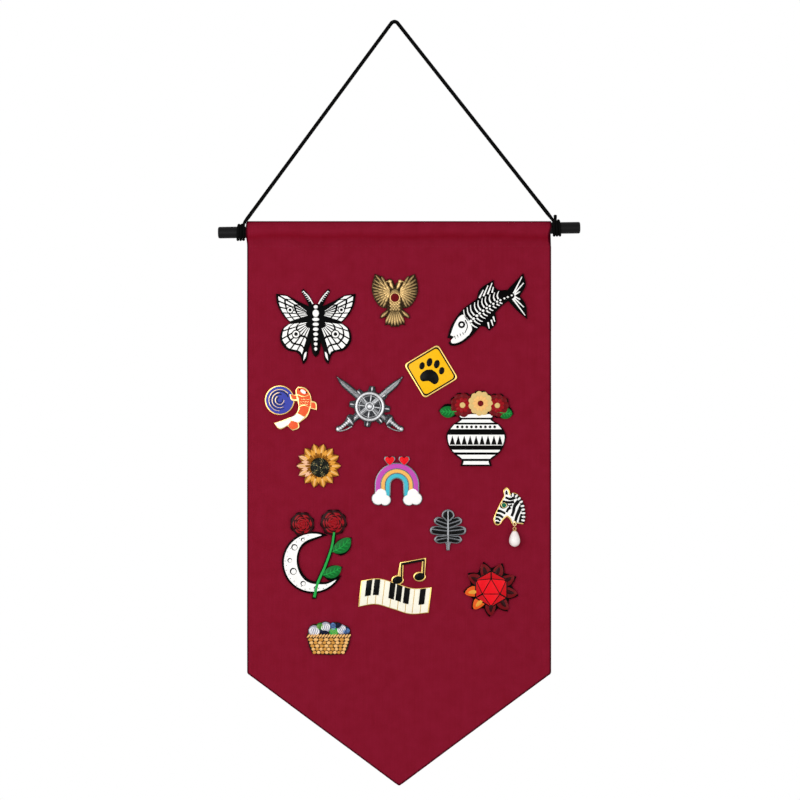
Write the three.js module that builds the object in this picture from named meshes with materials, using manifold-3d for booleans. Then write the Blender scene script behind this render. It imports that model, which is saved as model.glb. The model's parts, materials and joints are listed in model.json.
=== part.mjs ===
// A cloth pennant for showing pin badges. It hangs by a cord from one point, with a dowel in its
// top pocket, and carries fifteen badges whose posts go through the cloth into rubber clutches.
// Millimetres, +Z up, +X to the right, the front faces -Y. The origin is where the cord hangs.
import * as THREE from "three";
import { mergeVertices } from "three/addons/utils/BufferGeometryUtils.js";
import Module from "manifold-3d";

// The cloth
const BANNER_WIDTH = 210;
const BANNER_SIDE = 312; // top edge down to a side corner
const POINT_DROP = 78; // side corner down to the point
const CLOTH = 0.7; // one layer of canvas
const CORNER_RADIUS = 2.5;
const POINT_RADIUS = 3;
const HEM = 8; // the fold behind, below the pocket's seam
const LAYER_GAP = 0.3; // between the pocket's seam and the panels' top edges

// The dowel and its pocket
const ROD_DIAMETER = 8;
const ROD_LENGTH = 250;
const ROD_EDGE = 0.7;
const ROD_TILT_DEG = 0.79; // the right end hangs a little higher
const ROD_SIDES = 32;
const POCKET_EASE = 0.35; // between the dowel and the cloth around it
const POCKET_FALL = 8; // the height over which the pocket closes to its seam
const POCKET_STEPS = 6; // round half of the pocket's top

// The cord
const CORD_DIAMETER = 2;
const CORD_EASE = 0.3; // between the dowel and the turns on it
const CORD_JOIN = 0.3; // between the cord's free stretch and its turns
const TURN_PITCH = 2.58;
const TURNS = 2.5;
const TURN_STEPS = 24;
const TURN_CLEAR = 0.9; // between the cloth's edge and the first turn
const TUCK_DEG = 40; // how far the right end goes on, back over its turns
const TUCK_SHIFT = 5.2; // and how far back it goes
const TUCK_START_DEG = 50; // the end starts back this far before its last turn ends
const CLIMB_START_DEG = 110; // and climbs onto the turns between these two
const CLIMB_END_DEG = 45;
const LEFT_TAIL = 2;
const RIGHT_TAIL = 3.5;
const KNEE_RISE = 0.5; // above the dowel, where the cord turns towards the hang point
const KNEE_RADIUS = 5;
const KNEE_STEPS = 4;
const CORD_SIDES = 8;
const CORD_STEP = 6;
const TURN_SIDES = 6;
const HANG_BEND = 4.5; // radius of the cord's middle line over the hang point
const HANG_DROP = 136.8; // hang point down to the cloth's top edge
const HANG_OFFSET = 3.2; // hang point across to the cloth's middle

// The badges and their clutches
const PLATE = 1.6;
const POST_DIAMETER = 1.2;
const POST_GRIP = 4.6; // how far a post goes into its clutch
const POST_SIDES = 8;
const PIERCED_EASE = 0.3; // around a post in the cloth
const SEAT_GAP = 0.1; // under a badge, a gem or a clutch
const GRIP_EASE = 0.15; // around a post in its clutch
const CLUTCH_DIAMETER = 9;
const CLUTCH_NECK = 6;
const CLUTCH_FLANGE = 1.8;
const CLUTCH_HEIGHT = 5.6;
const CLUTCH_SIDES = 10;
const OUTLINE_STEP = 2.3; // between the points of a badge's curves
const CORNER_STEPS = 4;

// The badges' widths
const MOTH_WIDTH = 55;
const BIRD_WIDTH = 32;
const FISH_WIDTH = 55;
const SIGN_WIDTH = 27.5;
const KOI_WIDTH = 36;
const CUTLASS_WIDTH = 47;
const BOUQUET_WIDTH = 52;
const SUNFLOWER_WIDTH = 30;
const RAINBOW_WIDTH = 35;
const LEAF_WIDTH = 25;
const ZEBRA_WIDTH = 22;
const MOON_WIDTH = 48;
const KEYBOARD_WIDTH = 51;
const DICE_WIDTH = 38;
const BASKET_WIDTH = 30;

// The zebra brooch's drop
const PEARL_DIAMETER = 7.6;
const PEARL_LENGTH = 11.5;
const RING_RADIUS = 1.15; // of the wire's middle line
const RING_WIRE = 0.6;
const EYE_HOLE = 1.5;
const EYE_RIM = 0.55;
const EYE_THICKNESS = 0.6;
const LINK_GAP = 0.12; // between a link and the one that it hangs from
const DROP_CLEAR = 0.3; // between the pearl and the cloth
const PEAR_TAPER = 0.28; // how much slimmer the pearl is at its top
const RING_SIDES = 6;
const ROUND_STEPS = 16; // round the ring, the pearl and the gems

// Gems
const BIRD_GEM = 6;
const ZEBRA_GEM = 3.2;
const GEM_RISE = 0.55; // a gem's height as a share of its radius

// Places on a badge, as shares of its width from its middle
const EYE_PLACE = [0.164, -0.225];
const BIRD_GEM_PLACE = [0, 0.0625];
const ZEBRA_GEM_PLACE = [-0.164, 0.364];

const rodRadius = ROD_DIAMETER / 2;
const cordRadius = CORD_DIAMETER / 2;
const halfWidth = BANNER_WIDTH / 2;
const tilt = THREE.MathUtils.degToRad(ROD_TILT_DEG);
const pocketHalf = rodRadius + POCKET_EASE;
const pocketSlack = halfWidth * Math.tan(tilt); // room for the dowel's tilt, up and down
const topZ = -HANG_DROP;
const rodZ = topZ - CLOTH - pocketHalf - pocketSlack;
// The pocket's walls start to close where they then keep the same ease from the dowel.
const pocketFoot = rodZ - pocketSlack - (Math.hypot(pocketHalf, POCKET_FALL) - POCKET_FALL);
const seamZ = pocketFoot - POCKET_FALL;
const shoulderZ = topZ - BANNER_SIDE;
const pointZ = shoulderZ - POINT_DROP;
const plateBack = -CLOTH - SEAT_GAP;
const plateFront = plateBack - PLATE;
const clutchFront = CLOTH + SEAT_GAP;
const postEnd = clutchFront + POST_GRIP;

const wasm = await Module();
wasm.setup();

// Joining and cutting

function solidOf(geometry) {
  const bare = geometry.clone();
  bare.deleteAttribute("normal");
  bare.deleteAttribute("uv");
  const merged = mergeVertices(bare, 1e-4);
  const mesh = new wasm.Mesh({
    numProp: 3,
    vertProperties: merged.attributes.position.array,
    triVerts: new Uint32Array(merged.index.array),
  });
  return new wasm.Manifold(mesh);
}

function geometryOf(solid) {
  const mesh = solid.getMesh();
  const geometry = new THREE.BufferGeometry();
  geometry.setAttribute("position", new THREE.BufferAttribute(mesh.vertProperties, 3));
  geometry.setIndex(new THREE.BufferAttribute(mesh.triVerts, 1));
  geometry.computeVertexNormals();
  return geometry;
}

function joined(solids) {
  return solids.reduce((sum, solid) => sum.add(solid));
}

// Finishes

function finish(colour, roughness, metalness) {
  return () => new THREE.MeshStandardMaterial({ color: colour, roughness, metalness });
}

const CANVAS = finish(0x82182b, 0.95, 0);
const BLACK_WOOD = finish(0x1b1a1b, 0.6, 0);
const BLACK_CORD = finish(0x141414, 0.9, 0);
const BLACK_RUBBER = finish(0x1d1d1f, 0.7, 0);
const BLACK_METAL = finish(0x18181a, 0.35, 0.8);
const GOLD_METAL = finish(0xc9a24a, 0.3, 1);
const OLD_GOLD = finish(0x8f7433, 0.4, 1);
const SILVER_METAL = finish(0xa9a9a6, 0.35, 1);
const RED_GLASS = finish(0xa3122a, 0.1, 0);
const GREEN_GLASS = finish(0x1f8a5b, 0.1, 0);
const PEARL = finish(0xf0e6dc, 0.25, 0);

const banner = new THREE.Group();

function place(name, geometry, material, parent = banner) {
  const mesh = new THREE.Mesh(geometry, material());
  mesh.name = name;
  parent.add(mesh);
  return mesh;
}

// Flat outlines: drawn in X and Z, and made solid towards -Y from Y = 0

// runs is a list of runs of points. Points within a run are on one smooth curve, and runs meet in corners.
function outline(start, runs) {
  const points = [];
  let from = start;
  for (const run of runs) {
    const curve = new THREE.SplineCurve([from, ...run].map(([x, y]) => new THREE.Vector2(x, y)));
    const steps = run.length === 1 ? 1 : Math.max(2, Math.ceil(curve.getLength() / OUTLINE_STEP));
    points.push(...curve.getSpacedPoints(steps).slice(0, -1));
    from = run.at(-1);
  }
  const end = new THREE.Vector2(...from);
  if (end.distanceTo(points[0]) > 0) points.push(end);
  return new THREE.Shape(points);
}

// The right half is drawn from the top to the bottom of the middle line, and the left mirrors it.
function mirrored(start, runs) {
  const corners = [start, ...runs.map((run) => run.at(-1))];
  const left = runs.map((run, i) => [...run.slice(0, -1).reverse(), corners[i]]);
  const back = left.reverse().map((run) => run.map(([x, y]) => [-x, y]));
  return outline(start, [...runs, ...back]);
}

function rounded(corners, radii) {
  const shape = new THREE.Shape();
  corners.forEach(([x, y], i) => {
    const corner = new THREE.Vector2(x, y);
    const before = new THREE.Vector2(...corners.at(i - 1)).sub(corner).normalize();
    const after = new THREE.Vector2(...corners[(i + 1) % corners.length]).sub(corner).normalize();
    const start = corner.clone().addScaledVector(before, radii[i]);
    const end = corner.clone().addScaledVector(after, radii[i]);
    if (i === 0) shape.moveTo(start.x, start.y);
    else shape.lineTo(start.x, start.y);
    shape.quadraticCurveTo(x, y, end.x, end.y);
  });
  shape.closePath();
  return shape;
}

// Points along part of a circle or an ellipse, anticlockwise, between two angles in degrees
function arc(x, y, across, up, from, to) {
  const [start, end] = [from, to].map(THREE.MathUtils.degToRad);
  const curve = new THREE.EllipseCurve(x, y, across, up, start, end);
  return curve.getPoints(Math.max(6, Math.ceil(curve.getLength() / OUTLINE_STEP)));
}

function disc(x, y, across, up = across) {
  return new THREE.Shape(arc(x, y, across, up, 0, 360).slice(0, -1));
}

// Points round a centre, with the radius given by a share of the way round, for petals and flames.
function rosette(x, y, count, steps, radius) {
  const points = [];
  for (let i = 0; i < count * steps; i++) {
    const angle = (2 * Math.PI * i) / (count * steps);
    const r = radius((i % steps) / steps);
    points.push(new THREE.Vector2(x + r * Math.sin(angle), y + r * Math.cos(angle)));
  }
  return new THREE.Shape(points);
}

function scalloped(x, y, radius, count) {
  return rosette(x, y, count, 4, (share) => radius * (0.86 + 0.14 * Math.sin(Math.PI * share)));
}

function heart(x, y, size) {
  const at = (u, v) => [x + u * size, y + v * size];
  const half = [[at(0.35, 0.72), at(0.95, 0.5), at(0.7, -0.15), at(0, -0.9)]];
  const left = [[at(-0.7, -0.15), at(-0.95, 0.5), at(-0.35, 0.72), at(0, 0.38)]];
  return outline(at(0, 0.38), [...half, ...left]);
}

function extruded(shape, depth) {
  const geometry = new THREE.ExtrudeGeometry(shape, {
    depth,
    bevelEnabled: false,
    curveSegments: CORNER_STEPS,
  });
  return geometry.rotateX(Math.PI / 2);
}

// Badge outlines, each drawn in proportion and then made as wide as its badge

function mothShapes() {
  return [
    mirrored([0, 15.8], [
      [[1.6, 15]],
      [[4, 20.6], [8.4, 26]],
      [[10, 24.8], [7.2, 19.4], [4.6, 14]],
      [[12, 17.4], [20, 21.6], [27.5, 22.6]],
      [[26.6, 15.6], [22.8, 8], [17.6, 2.4]],
      [[23, -1.5], [24.5, -9.5], [20, -16], [13.8, -17.4]],
      [[10.8, -20], [8.8, -26]],
      [[6.2, -23], [5.2, -16.5], [3.4, -10.5]],
      [[3, -15], [1.7, -19.4], [0, -21]],
    ]),
  ];
}

function birdShapes() {
  return [
    mirrored([0, 9.6], [
      [[0.9, 12.6], [2.6, 15.2], [5.2, 14.6], [7.4, 12.4]],
      [[5.2, 12], [4.3, 10], [3.7, 7.6]],
      [[6.2, 10.6], [9.4, 16.2], [13.8, 18.5]],
      [[15.6, 13], [16, 6.5], [14, 0.4]],
      [[11, -3.6], [7.8, -5.2], [5, -5.2]],
      [[7.4, -8], [9.6, -9.4], [10.4, -12.4]],
      [[7.6, -11.8], [5.4, -10.4], [3.9, -8.6]],
      [[5.4, -12.5], [7, -17.2]],
      [[4, -16.6], [2.4, -18.5]],
      [[1.2, -17.6], [0, -18.5]],
    ]),
  ];
}

function fishShapes() {
  return [
    outline([-27.4, -19.4], [
      [[-24.5, -10.5], [-17.5, -0.5], [-7.5, 7.2]],
      [[-4.5, 14.5], [4.5, 20.5]],
      [[5.2, 15.8], [8.5, 13.4], [14.2, 13.8]],
      [[18.6, 18.6], [24.8, 25]],
      [[26.6, 17], [22.6, 9.4]],
      [[26.8, 3], [27.5, -6.5]],
      [[20.6, -0.6], [14.6, 6]],
      [[10, 2.4], [5.6, -2.4]],
      [[6.2, -9.5], [1.4, -14.5]],
      [[-1.5, -11.8], [-4.8, -11.6]],
      [[-10.5, -18], [-18, -23.6], [-24.5, -25], [-26.6, -22.8]],
      [[-23.4, -20.4]],
    ]),
  ];
}

function signShapes() {
  const side = 13.75;
  const corners = [[-side, -side], [side, -side], [side, side], [-side, side]];
  return [rounded(corners, [3, 3, 3, 3])];
}

function koiShapes() {
  return [
    disc(-7.6, 5.2, 10.2),
    outline([5.2, 14.6], [
      [[10.2, 13.6], [13.6, 9], [14.3, 4.8]],
      [[17.4, 3.6], [18, -1.6]],
      [[13.6, -0.6]],
      [[11.2, -6.2], [5.6, -10.6]],
      [[5.6, -14], [1.4, -15.8]],
      [[-2.4, -12.6]],
      [[-7.6, -14.8], [-11.4, -10.6]],
      [[-6, -8.8], [-1.8, -7.2]],
      [[3.2, -4.8], [5.4, -0.2], [4.8, 4.6]],
      [[0.6, 5.2], [-0.8, 9.4]],
      [[3.4, 9], [3.4, 12], [5.2, 14.6]],
    ]),
  ];
}

function cutlassShapes() {
  const half = [
    [[-22.6, -19.4], [-19.8, -18.6]],
    [[-16.6, -14.6]],
    [[-13, -16.6], [-10.8, -13.4]],
    [[-1, -5.6], [11, 4.6], [19.6, 12.4], [23.5, 19.4]],
    [[14.6, 13.8], [4.6, 5.4], [-11.4, -8]],
    [[-14.8, -7.4], [-17.2, -11.8]],
    [[-20.2, -14.8]],
    [[-23.5, -16], [-23.5, -18.4]],
  ];
  const start = [-23.5, -18.4];
  const other = half.map((run) => run.map(([x, y]) => [-x, y]));
  const wheel = rosette(0, -2, 8, 6, (share) => (share < 0.34 ? 14.4 : 11));
  return [outline(start, half), outline([23.5, -18.4], other), wheel];
}

function bouquetShapes() {
  const vase = mirrored([0, 9.6], [
    [[13.4, 10.6]],
    [[13.6, 8.8], [11, 5.6], [16.4, 1.8], [20.6, -5.6], [17.6, -15.4], [9.8, -22.6]],
    [[10.8, -26.5]],
    [[0, -26.5]],
  ]);
  const leftLeaf = outline([-11, 8.6], [[[-18.6, 7.4], [-26, 11.6]], [[-20.4, 16.6], [-11, 13.6]]]);
  const rightLeaf = outline([12, 8.6], [[[19.4, 6.2], [26, 9.4]], [[22.4, 15], [12, 14]]]);
  return [
    vase,
    leftLeaf,
    rightLeaf,
    scalloped(-9.4, 15.6, 9, 9),
    scalloped(3, 16.8, 9.2, 11),
    scalloped(14.6, 15.4, 8.6, 9),
  ];
}

function sunflowerShapes() {
  const petal = (share) => 11.4 + 3.6 * Math.sin(Math.PI * share) ** 0.7;
  return [rosette(0, 0, 14, 6, petal)];
}

function rainbowShapes() {
  const foot = -9;
  const outer = arc(0, -1.5, 15.4, 15.4, 0, 180);
  const inner = arc(0, -1.5, 4.2, 4.2, 0, 180).reverse();
  const leftFeet = [outer, inner.toReversed()].map((edge) => new THREE.Vector2(edge.at(-1).x, foot));
  const rightFeet = [inner, outer.toReversed()].map((edge) => new THREE.Vector2(edge.at(-1).x, foot));
  const clouds = [-1, 1].flatMap((side) => [
    disc(side * 13, -11, 4.6),
    disc(side * 8.2, -11.8, 4.2),
    disc(side * 11, -8, 4.6),
  ]);
  const arch = new THREE.Shape([...outer, ...leftFeet, ...inner, ...rightFeet]);
  return [arch, ...clouds, heart(-5, 15.3, 4.4), heart(5, 15.3, 4.4)];
}

function leafShapes() {
  return [
    mirrored([0, 14.5], [
      [[3.2, 13.2], [4.6, 9.8], [3, 7.6]],
      [[6.6, 9.2], [9.8, 7.6], [9.2, 4.4], [4.6, 2.2]],
      [[8.6, 2.8], [12.5, 1.4], [11.8, -2.8], [5.2, -4]],
      [[8.4, -4.4], [10, -7.4], [6.8, -9.6], [2.2, -9.2]],
      [[1.3, -11.5], [1.3, -14.5]],
      [[0, -14.5]],
    ]),
  ];
}

function zebraShapes() {
  return [
    outline([-9.6, -5.6], [
      [[-11, -1.6], [-8.6, 4.6], [-5.8, 10.4], [-3.6, 14.4]],
      [[-4, 18.4], [-1.6, 20.5]],
      [[0.2, 18.6], [0.6, 16.2]],
      [[4.2, 16.6], [8.4, 12.6], [10.6, 5.8], [11, -1.2], [9.8, -5.2]],
      [[5.2, -4.7], [1.6, -4.8]],
      [[0.6, -2], [-1.6, 0]],
      [[-4.2, -2.4], [-6.6, -5.8], [-9.6, -5.6]],
    ]),
  ];
}

function moonShapes() {
  const outer = arc(-2.6, -6, 21.4, 21.4, 62, 336).map(({ x, y }) => [x, y]);
  const crescent = outline(outer[0], [
    ...outer.slice(1).map((point) => [point]),
    [[6, -19.4], [-6.4, -17], [-12.4, -6], [-9, 5.6], outer[0]],
  ]);
  const stem = outline([-3.2, -31], [
    [[-1, -20], [4.4, -8], [9.4, 6], [10.6, 16]],
    [[13.6, 16]],
    [[11.8, 4], [6.8, -10], [2, -20.6], [-0.4, -31]],
  ]);
  const leaf = outline([10.6, 1.6], [[[15, 9.6], [24, 11.4]], [[23, 3.4], [17, -1.2], [10.6, 1.6]]]);
  const lowLeaf = outline([4, -14.6], [[[9.6, -8.2], [17.6, -9]], [[14.6, -15.8], [8.4, -18.4], [4, -14.6]]]);
  return [crescent, stem, leaf, lowLeaf, scalloped(-10, 20.6, 8.6, 8), scalloped(11.6, 21.6, 9.4, 9)];
}

function keyboardShapes() {
  const keys = outline([-25.5, -14.6], [
    [[-13.5, -12.8], [-1.5, -16], [10.5, -19.5], [23.4, -18.6]],
    [[25.5, -0.8]],
    [[12.6, -1.6], [0.6, 2], [-11.4, 5.2], [-23.4, 3.6]],
  ]);
  const stems = outline([1, 2], [
    [[5.4, 2]],
    [[6, 15]],
    [[18.6, 17.4]],
    [[18, 6]],
    [[20.6, 6]],
    [[21.6, 19.5]],
    [[3.4, 16.2]],
  ]);
  return [keys, stems, disc(1.8, 4, 4.4, 3.4), disc(17, 6.4, 4.4, 3.4)];
}

function diceShapes() {
  const lick = (share) => (share < 0.6 ? (share / 0.6) ** 1.5 : (1 - share) / 0.4);
  return [rosette(0, 0, 9, 5, (share) => 14 + 5 * lick(share))];
}

function basketShapes() {
  const bowl = outline([-15, 0.6], [
    [[-13.4, -6.4], [-11, -11]],
    [[0, -11.6], [11, -11]],
    [[13.4, -6.4], [15, 0.6]],
    [[15, 3]],
    [[-15, 3]],
  ]);
  return [bowl, disc(-9.4, 4.6, 5), disc(-2.4, 6, 5.4), disc(4.8, 5.6, 5.4), disc(10.4, 4.2, 4.6)];
}

// The badges. across and down are shares of the cloth's width and side, from its middle and top.
// posts are places on the badge, as shares of its width from its middle.
const TWO_POSTS = [[-0.24, 0], [0.24, 0]];
const ONE_POST = [[0, 0]];

const BADGES = [
  { name: "moth", width: MOTH_WIDTH, across: -0.274, down: 0.2346,
    shapes: mothShapes, metal: BLACK_METAL, posts: [[-0.26, 0.1], [0.26, 0.1]] },
  { name: "bird", width: BIRD_WIDTH, across: -0.0138, down: 0.1771,
    shapes: birdShapes, metal: OLD_GOLD, posts: ONE_POST },
  { name: "fish", width: FISH_WIDTH, across: 0.2891, down: 0.197,
    shapes: fishShapes, metal: BLACK_METAL, posts: [[-0.26, -0.18], [0.1, 0.14]] },
  { name: "sign", width: SIGN_WIDTH, across: 0.105, down: 0.3337,
    shapes: signShapes, metal: GOLD_METAL, posts: ONE_POST, turn: 31 },
  { name: "koi", width: KOI_WIDTH, across: -0.3563, down: 0.414,
    shapes: koiShapes, metal: GOLD_METAL, posts: [[0.06, 0.1]] },
  { name: "cutlass", width: CUTLASS_WIDTH, across: -0.0967, down: 0.4051,
    shapes: cutlassShapes, metal: SILVER_METAL, posts: [[-0.16, -0.04], [0.16, -0.04]] },
  { name: "bouquet", width: BOUQUET_WIDTH, across: 0.2529, down: 0.4583,
    shapes: bouquetShapes, metal: BLACK_METAL, posts: TWO_POSTS },
  { name: "sunflower", width: SUNFLOWER_WIDTH, across: -0.2641, down: 0.5424,
    shapes: sunflowerShapes, metal: OLD_GOLD, posts: ONE_POST },
  { name: "rainbow", width: RAINBOW_WIDTH, across: -0.0072, down: 0.58,
    shapes: rainbowShapes, metal: SILVER_METAL, posts: [[0, 0.16]] },
  { name: "leaf", width: LEAF_WIDTH, across: 0.1607, down: 0.6841,
    shapes: leafShapes, metal: SILVER_METAL, posts: ONE_POST },
  { name: "zebra", width: ZEBRA_WIDTH, across: 0.3615, down: 0.6553,
    shapes: zebraShapes, metal: OLD_GOLD, posts: [[-0.2, 0.42], [0.26, 0.02]] },
  { name: "moon", width: MOON_WIDTH, across: -0.2707, down: 0.7372,
    shapes: moonShapes, metal: BLACK_METAL, posts: [[-0.34, -0.1], [0.2, 0.42]] },
  { name: "keyboard", width: KEYBOARD_WIDTH, across: -0.0138, down: 0.808,
    shapes: keyboardShapes, metal: GOLD_METAL, posts: [[-0.26, -0.12], [0.26, -0.2]] },
  { name: "dice", width: DICE_WIDTH, across: 0.3023, down: 0.8147,
    shapes: diceShapes, metal: BLACK_METAL, posts: ONE_POST },
  { name: "basket", width: BASKET_WIDTH, across: -0.2312, down: 0.9232,
    shapes: basketShapes, metal: OLD_GOLD, posts: ONE_POST },
];

function badgeCentre(badge) {
  const x = HANG_OFFSET + badge.across * BANNER_WIDTH;
  const z = topZ - badge.down * BANNER_SIDE;
  return new THREE.Vector2(x, z);
}

function postPlaces(badge) {
  const turn = THREE.MathUtils.degToRad(badge.turn ?? 0);
  const centre = badgeCentre(badge);
  return badge.posts.map(([u, v]) => {
    const offset = new THREE.Vector2(u, v).multiplyScalar(badge.width);
    return offset.rotateAround(new THREE.Vector2(), turn).add(centre);
  });
}

function placeOn(name, [u, v]) {
  const badge = BADGES.find((each) => each.name === name);
  return new THREE.Vector2(u, v).multiplyScalar(badge.width).add(badgeCentre(badge));
}

function rodAlongY(diameter, start, end, sides) {
  const geometry = new THREE.CylinderGeometry(diameter / 2, diameter / 2, end - start, sides);
  return geometry.translate(0, (start + end) / 2, 0);
}

// One badge: its outlines as one plate, with its posts behind
function badgePlate(badge) {
  const plates = badge.shapes().map((shape) => solidOf(extruded(shape, 1)));
  const flat = joined(plates);
  const box = flat.boundingBox();
  const scale = badge.width / (box.max[0] - box.min[0]);
  const plate = flat.scale([scale, PLATE, scale]);
  const posts = badge.posts.map(([u, v]) => {
    const post = rodAlongY(POST_DIAMETER, -PLATE / 2, postEnd - plateBack, POST_SIDES);
    return solidOf(post.translate(u * badge.width, 0, v * badge.width));
  });
  return joined([plate, ...posts]);
}

// The zebra's eye, from which its drop hangs in front of the cloth
const eyeHole = EYE_HOLE / 2;
const dropY = -CLOTH - DROP_CLEAR - PEARL_DIAMETER / 2;
const eye = placeOn("zebra", EYE_PLACE);
const eyeX = eye.x;
const eyeZ = eye.y;
const ringTop = eyeZ - eyeHole + RING_WIRE / 2 + LINK_GAP;
const ringZ = ringTop - RING_RADIUS;
const pearlEyeZ = ringZ - RING_RADIUS + RING_WIRE / 2 + LINK_GAP - eyeHole;

function eyeRing(x, z) {
  const shape = disc(x, z, eyeHole + EYE_RIM);
  shape.holes.push(disc(x, z, eyeHole));
  return solidOf(extruded(shape, EYE_THICKNESS).translate(0, dropY + EYE_THICKNESS / 2, 0));
}

function zebraEye() {
  const reach = plateFront + PLATE / 2 - (dropY - EYE_THICKNESS / 2);
  const stem = new THREE.BoxGeometry(EYE_HOLE, reach, EYE_HOLE);
  const stemZ = eyeZ + eyeHole + EYE_HOLE / 2 + LINK_GAP;
  stem.translate(eyeX, dropY - EYE_THICKNESS / 2 + reach / 2, stemZ);
  return solidOf(stem).add(eyeRing(eyeX, eyeZ));
}

for (const badge of BADGES) {
  const centre = badgeCentre(badge);
  const turn = badge.turn ?? 0;
  let solid = badgePlate(badge).rotate([0, -turn, 0]).translate([centre.x, plateBack, centre.y]);
  if (badge.name === "zebra") solid = solid.add(zebraEye());
  place(`${badge.name}_badge`, geometryOf(solid), badge.metal);
}

// Clutches: rubber, a flange towards the cloth and a blind hole for the post

function clutchGeometry() {
  const hole = POST_DIAMETER / 2 + GRIP_EASE;
  const flange = CLUTCH_DIAMETER / 2;
  const neck = CLUTCH_NECK / 2;
  const profile = [
    [0, POST_GRIP + GRIP_EASE],
    [hole, POST_GRIP + GRIP_EASE],
    [hole, 0],
    [flange, 0],
    [flange, CLUTCH_FLANGE / 2],
    [neck, CLUTCH_FLANGE],
    [neck, CLUTCH_HEIGHT],
    [0, CLUTCH_HEIGHT],
  ];
  const points = profile.map(([r, y]) => new THREE.Vector2(r, y));
  return new THREE.LatheGeometry(points, CLUTCH_SIDES);
}

for (const badge of BADGES) {
  postPlaces(badge).forEach((post, i, all) => {
    const letter = all.length > 1 ? "_" + "ab"[i] : "";
    const mesh = place(`${badge.name}_clutch${letter}`, clutchGeometry(), BLACK_RUBBER);
    mesh.position.set(post.x, clutchFront, post.y);
  });
}

// Cloth: two panels with the same outline, pierced by the posts, and a pocket above them

function bannerOutline() {
  const left = HANG_OFFSET - halfWidth;
  const right = HANG_OFFSET + halfWidth;
  const corners = [
    [HANG_OFFSET, pointZ],
    [right, shoulderZ],
    [right, topZ],
    [left, topZ],
    [left, shoulderZ],
  ];
  const radii = [POINT_RADIUS, CORNER_RADIUS, CORNER_RADIUS, CORNER_RADIUS, CORNER_RADIUS];
  const depth = 4 * (pocketHalf + CLOTH);
  return solidOf(extruded(rounded(corners, radii), depth).translate(0, depth / 2, 0));
}

function pierced(panel) {
  const hole = POST_DIAMETER + 2 * PIERCED_EASE;
  const holes = BADGES.flatMap(postPlaces).map((post) => {
    return solidOf(rodAlongY(hole, -2 * CLOTH, 2 * CLOTH, POST_SIDES).translate(post.x, 0, post.y));
  });
  return holes.reduce((left, cut) => left.subtract(cut), panel);
}

// A flat layer of cloth between two heights
function layer(middleY, bottom, top) {
  const sheet = new THREE.BoxGeometry(BANNER_WIDTH, CLOTH, top - bottom);
  sheet.translate(HANG_OFFSET, middleY, (top + bottom) / 2);
  return solidOf(sheet).intersect(bannerOutline());
}

// The bare point below the shoulders is joined on after the piercing, so its face stays whole.
function frontPanel() {
  const upper = pierced(layer(-CLOTH / 2, shoulderZ, seamZ - LAYER_GAP));
  return upper.add(layer(-CLOTH / 2, pointZ, shoulderZ + CLOTH));
}

function backPanel() {
  return pierced(layer(CLOTH / 2, pointZ, seamZ - LAYER_GAP));
}

// From its seam the pocket goes up, over the dowel and down behind it to the hem. Drawn in Y and Z.
function pocketProfile() {
  const upper = rodZ + pocketSlack;
  const lower = pocketFoot;
  const outside = pocketHalf + CLOTH;
  const shape = new THREE.Shape();
  shape.moveTo(-CLOTH, seamZ);
  shape.lineTo(0, seamZ);
  shape.lineTo(-pocketHalf, lower);
  shape.lineTo(-pocketHalf, upper);
  shape.absarc(0, upper, pocketHalf, Math.PI, 0, true);
  shape.lineTo(pocketHalf, lower);
  shape.lineTo(CLOTH, seamZ);
  shape.lineTo(CLOTH, seamZ - HEM);
  shape.lineTo(2 * CLOTH, seamZ - HEM);
  shape.lineTo(2 * CLOTH, seamZ);
  shape.lineTo(outside, lower);
  shape.lineTo(outside, upper);
  shape.absarc(0, upper, outside, 0, Math.PI, false);
  shape.lineTo(-outside, lower);
  shape.closePath();
  return shape;
}

function rodPocket() {
  const geometry = new THREE.ExtrudeGeometry(pocketProfile(), {
    depth: BANNER_WIDTH,
    bevelEnabled: false,
    curveSegments: POCKET_STEPS,
  });
  const along = new THREE.Matrix4().makeBasis(
    new THREE.Vector3(0, 1, 0),
    new THREE.Vector3(0, 0, 1),
    new THREE.Vector3(1, 0, 0),
  );
  geometry.applyMatrix4(along).translate(HANG_OFFSET - halfWidth, 0, 0);
  return solidOf(geometry).intersect(bannerOutline());
}

place("front_panel", geometryOf(frontPanel()), CANVAS);
place("back_panel", geometryOf(backPanel()), CANVAS);
place("rod_pocket", geometryOf(rodPocket()), CANVAS);

// The dowel, tilted in its loose pocket

const rodFrame = new THREE.Group();
rodFrame.position.set(HANG_OFFSET, 0, rodZ);
rodFrame.rotation.y = -tilt;
rodFrame.updateMatrixWorld(true);
banner.add(rodFrame);

function dowel() {
  const half = ROD_LENGTH / 2;
  const profile = [
    [0, -half],
    [rodRadius - ROD_EDGE, -half],
    [rodRadius, -half + ROD_EDGE],
    [rodRadius, half - ROD_EDGE],
    [rodRadius - ROD_EDGE, half],
    [0, half],
  ];
  const points = profile.map(([r, y]) => new THREE.Vector2(r, y));
  return new THREE.LatheGeometry(points, ROD_SIDES).rotateZ(-Math.PI / 2);
}

place("dowel_rod", dowel(), BLACK_WOOD, rodFrame);

// The cord: a free stretch over the hang point, and turns round the dowel at both ends

const turnRadius = rodRadius + CORD_EASE + cordRadius;
const hangCentre = new THREE.Vector3(0, 0, cordRadius - HANG_BEND);
const { smoothstep } = THREE.MathUtils;

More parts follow.
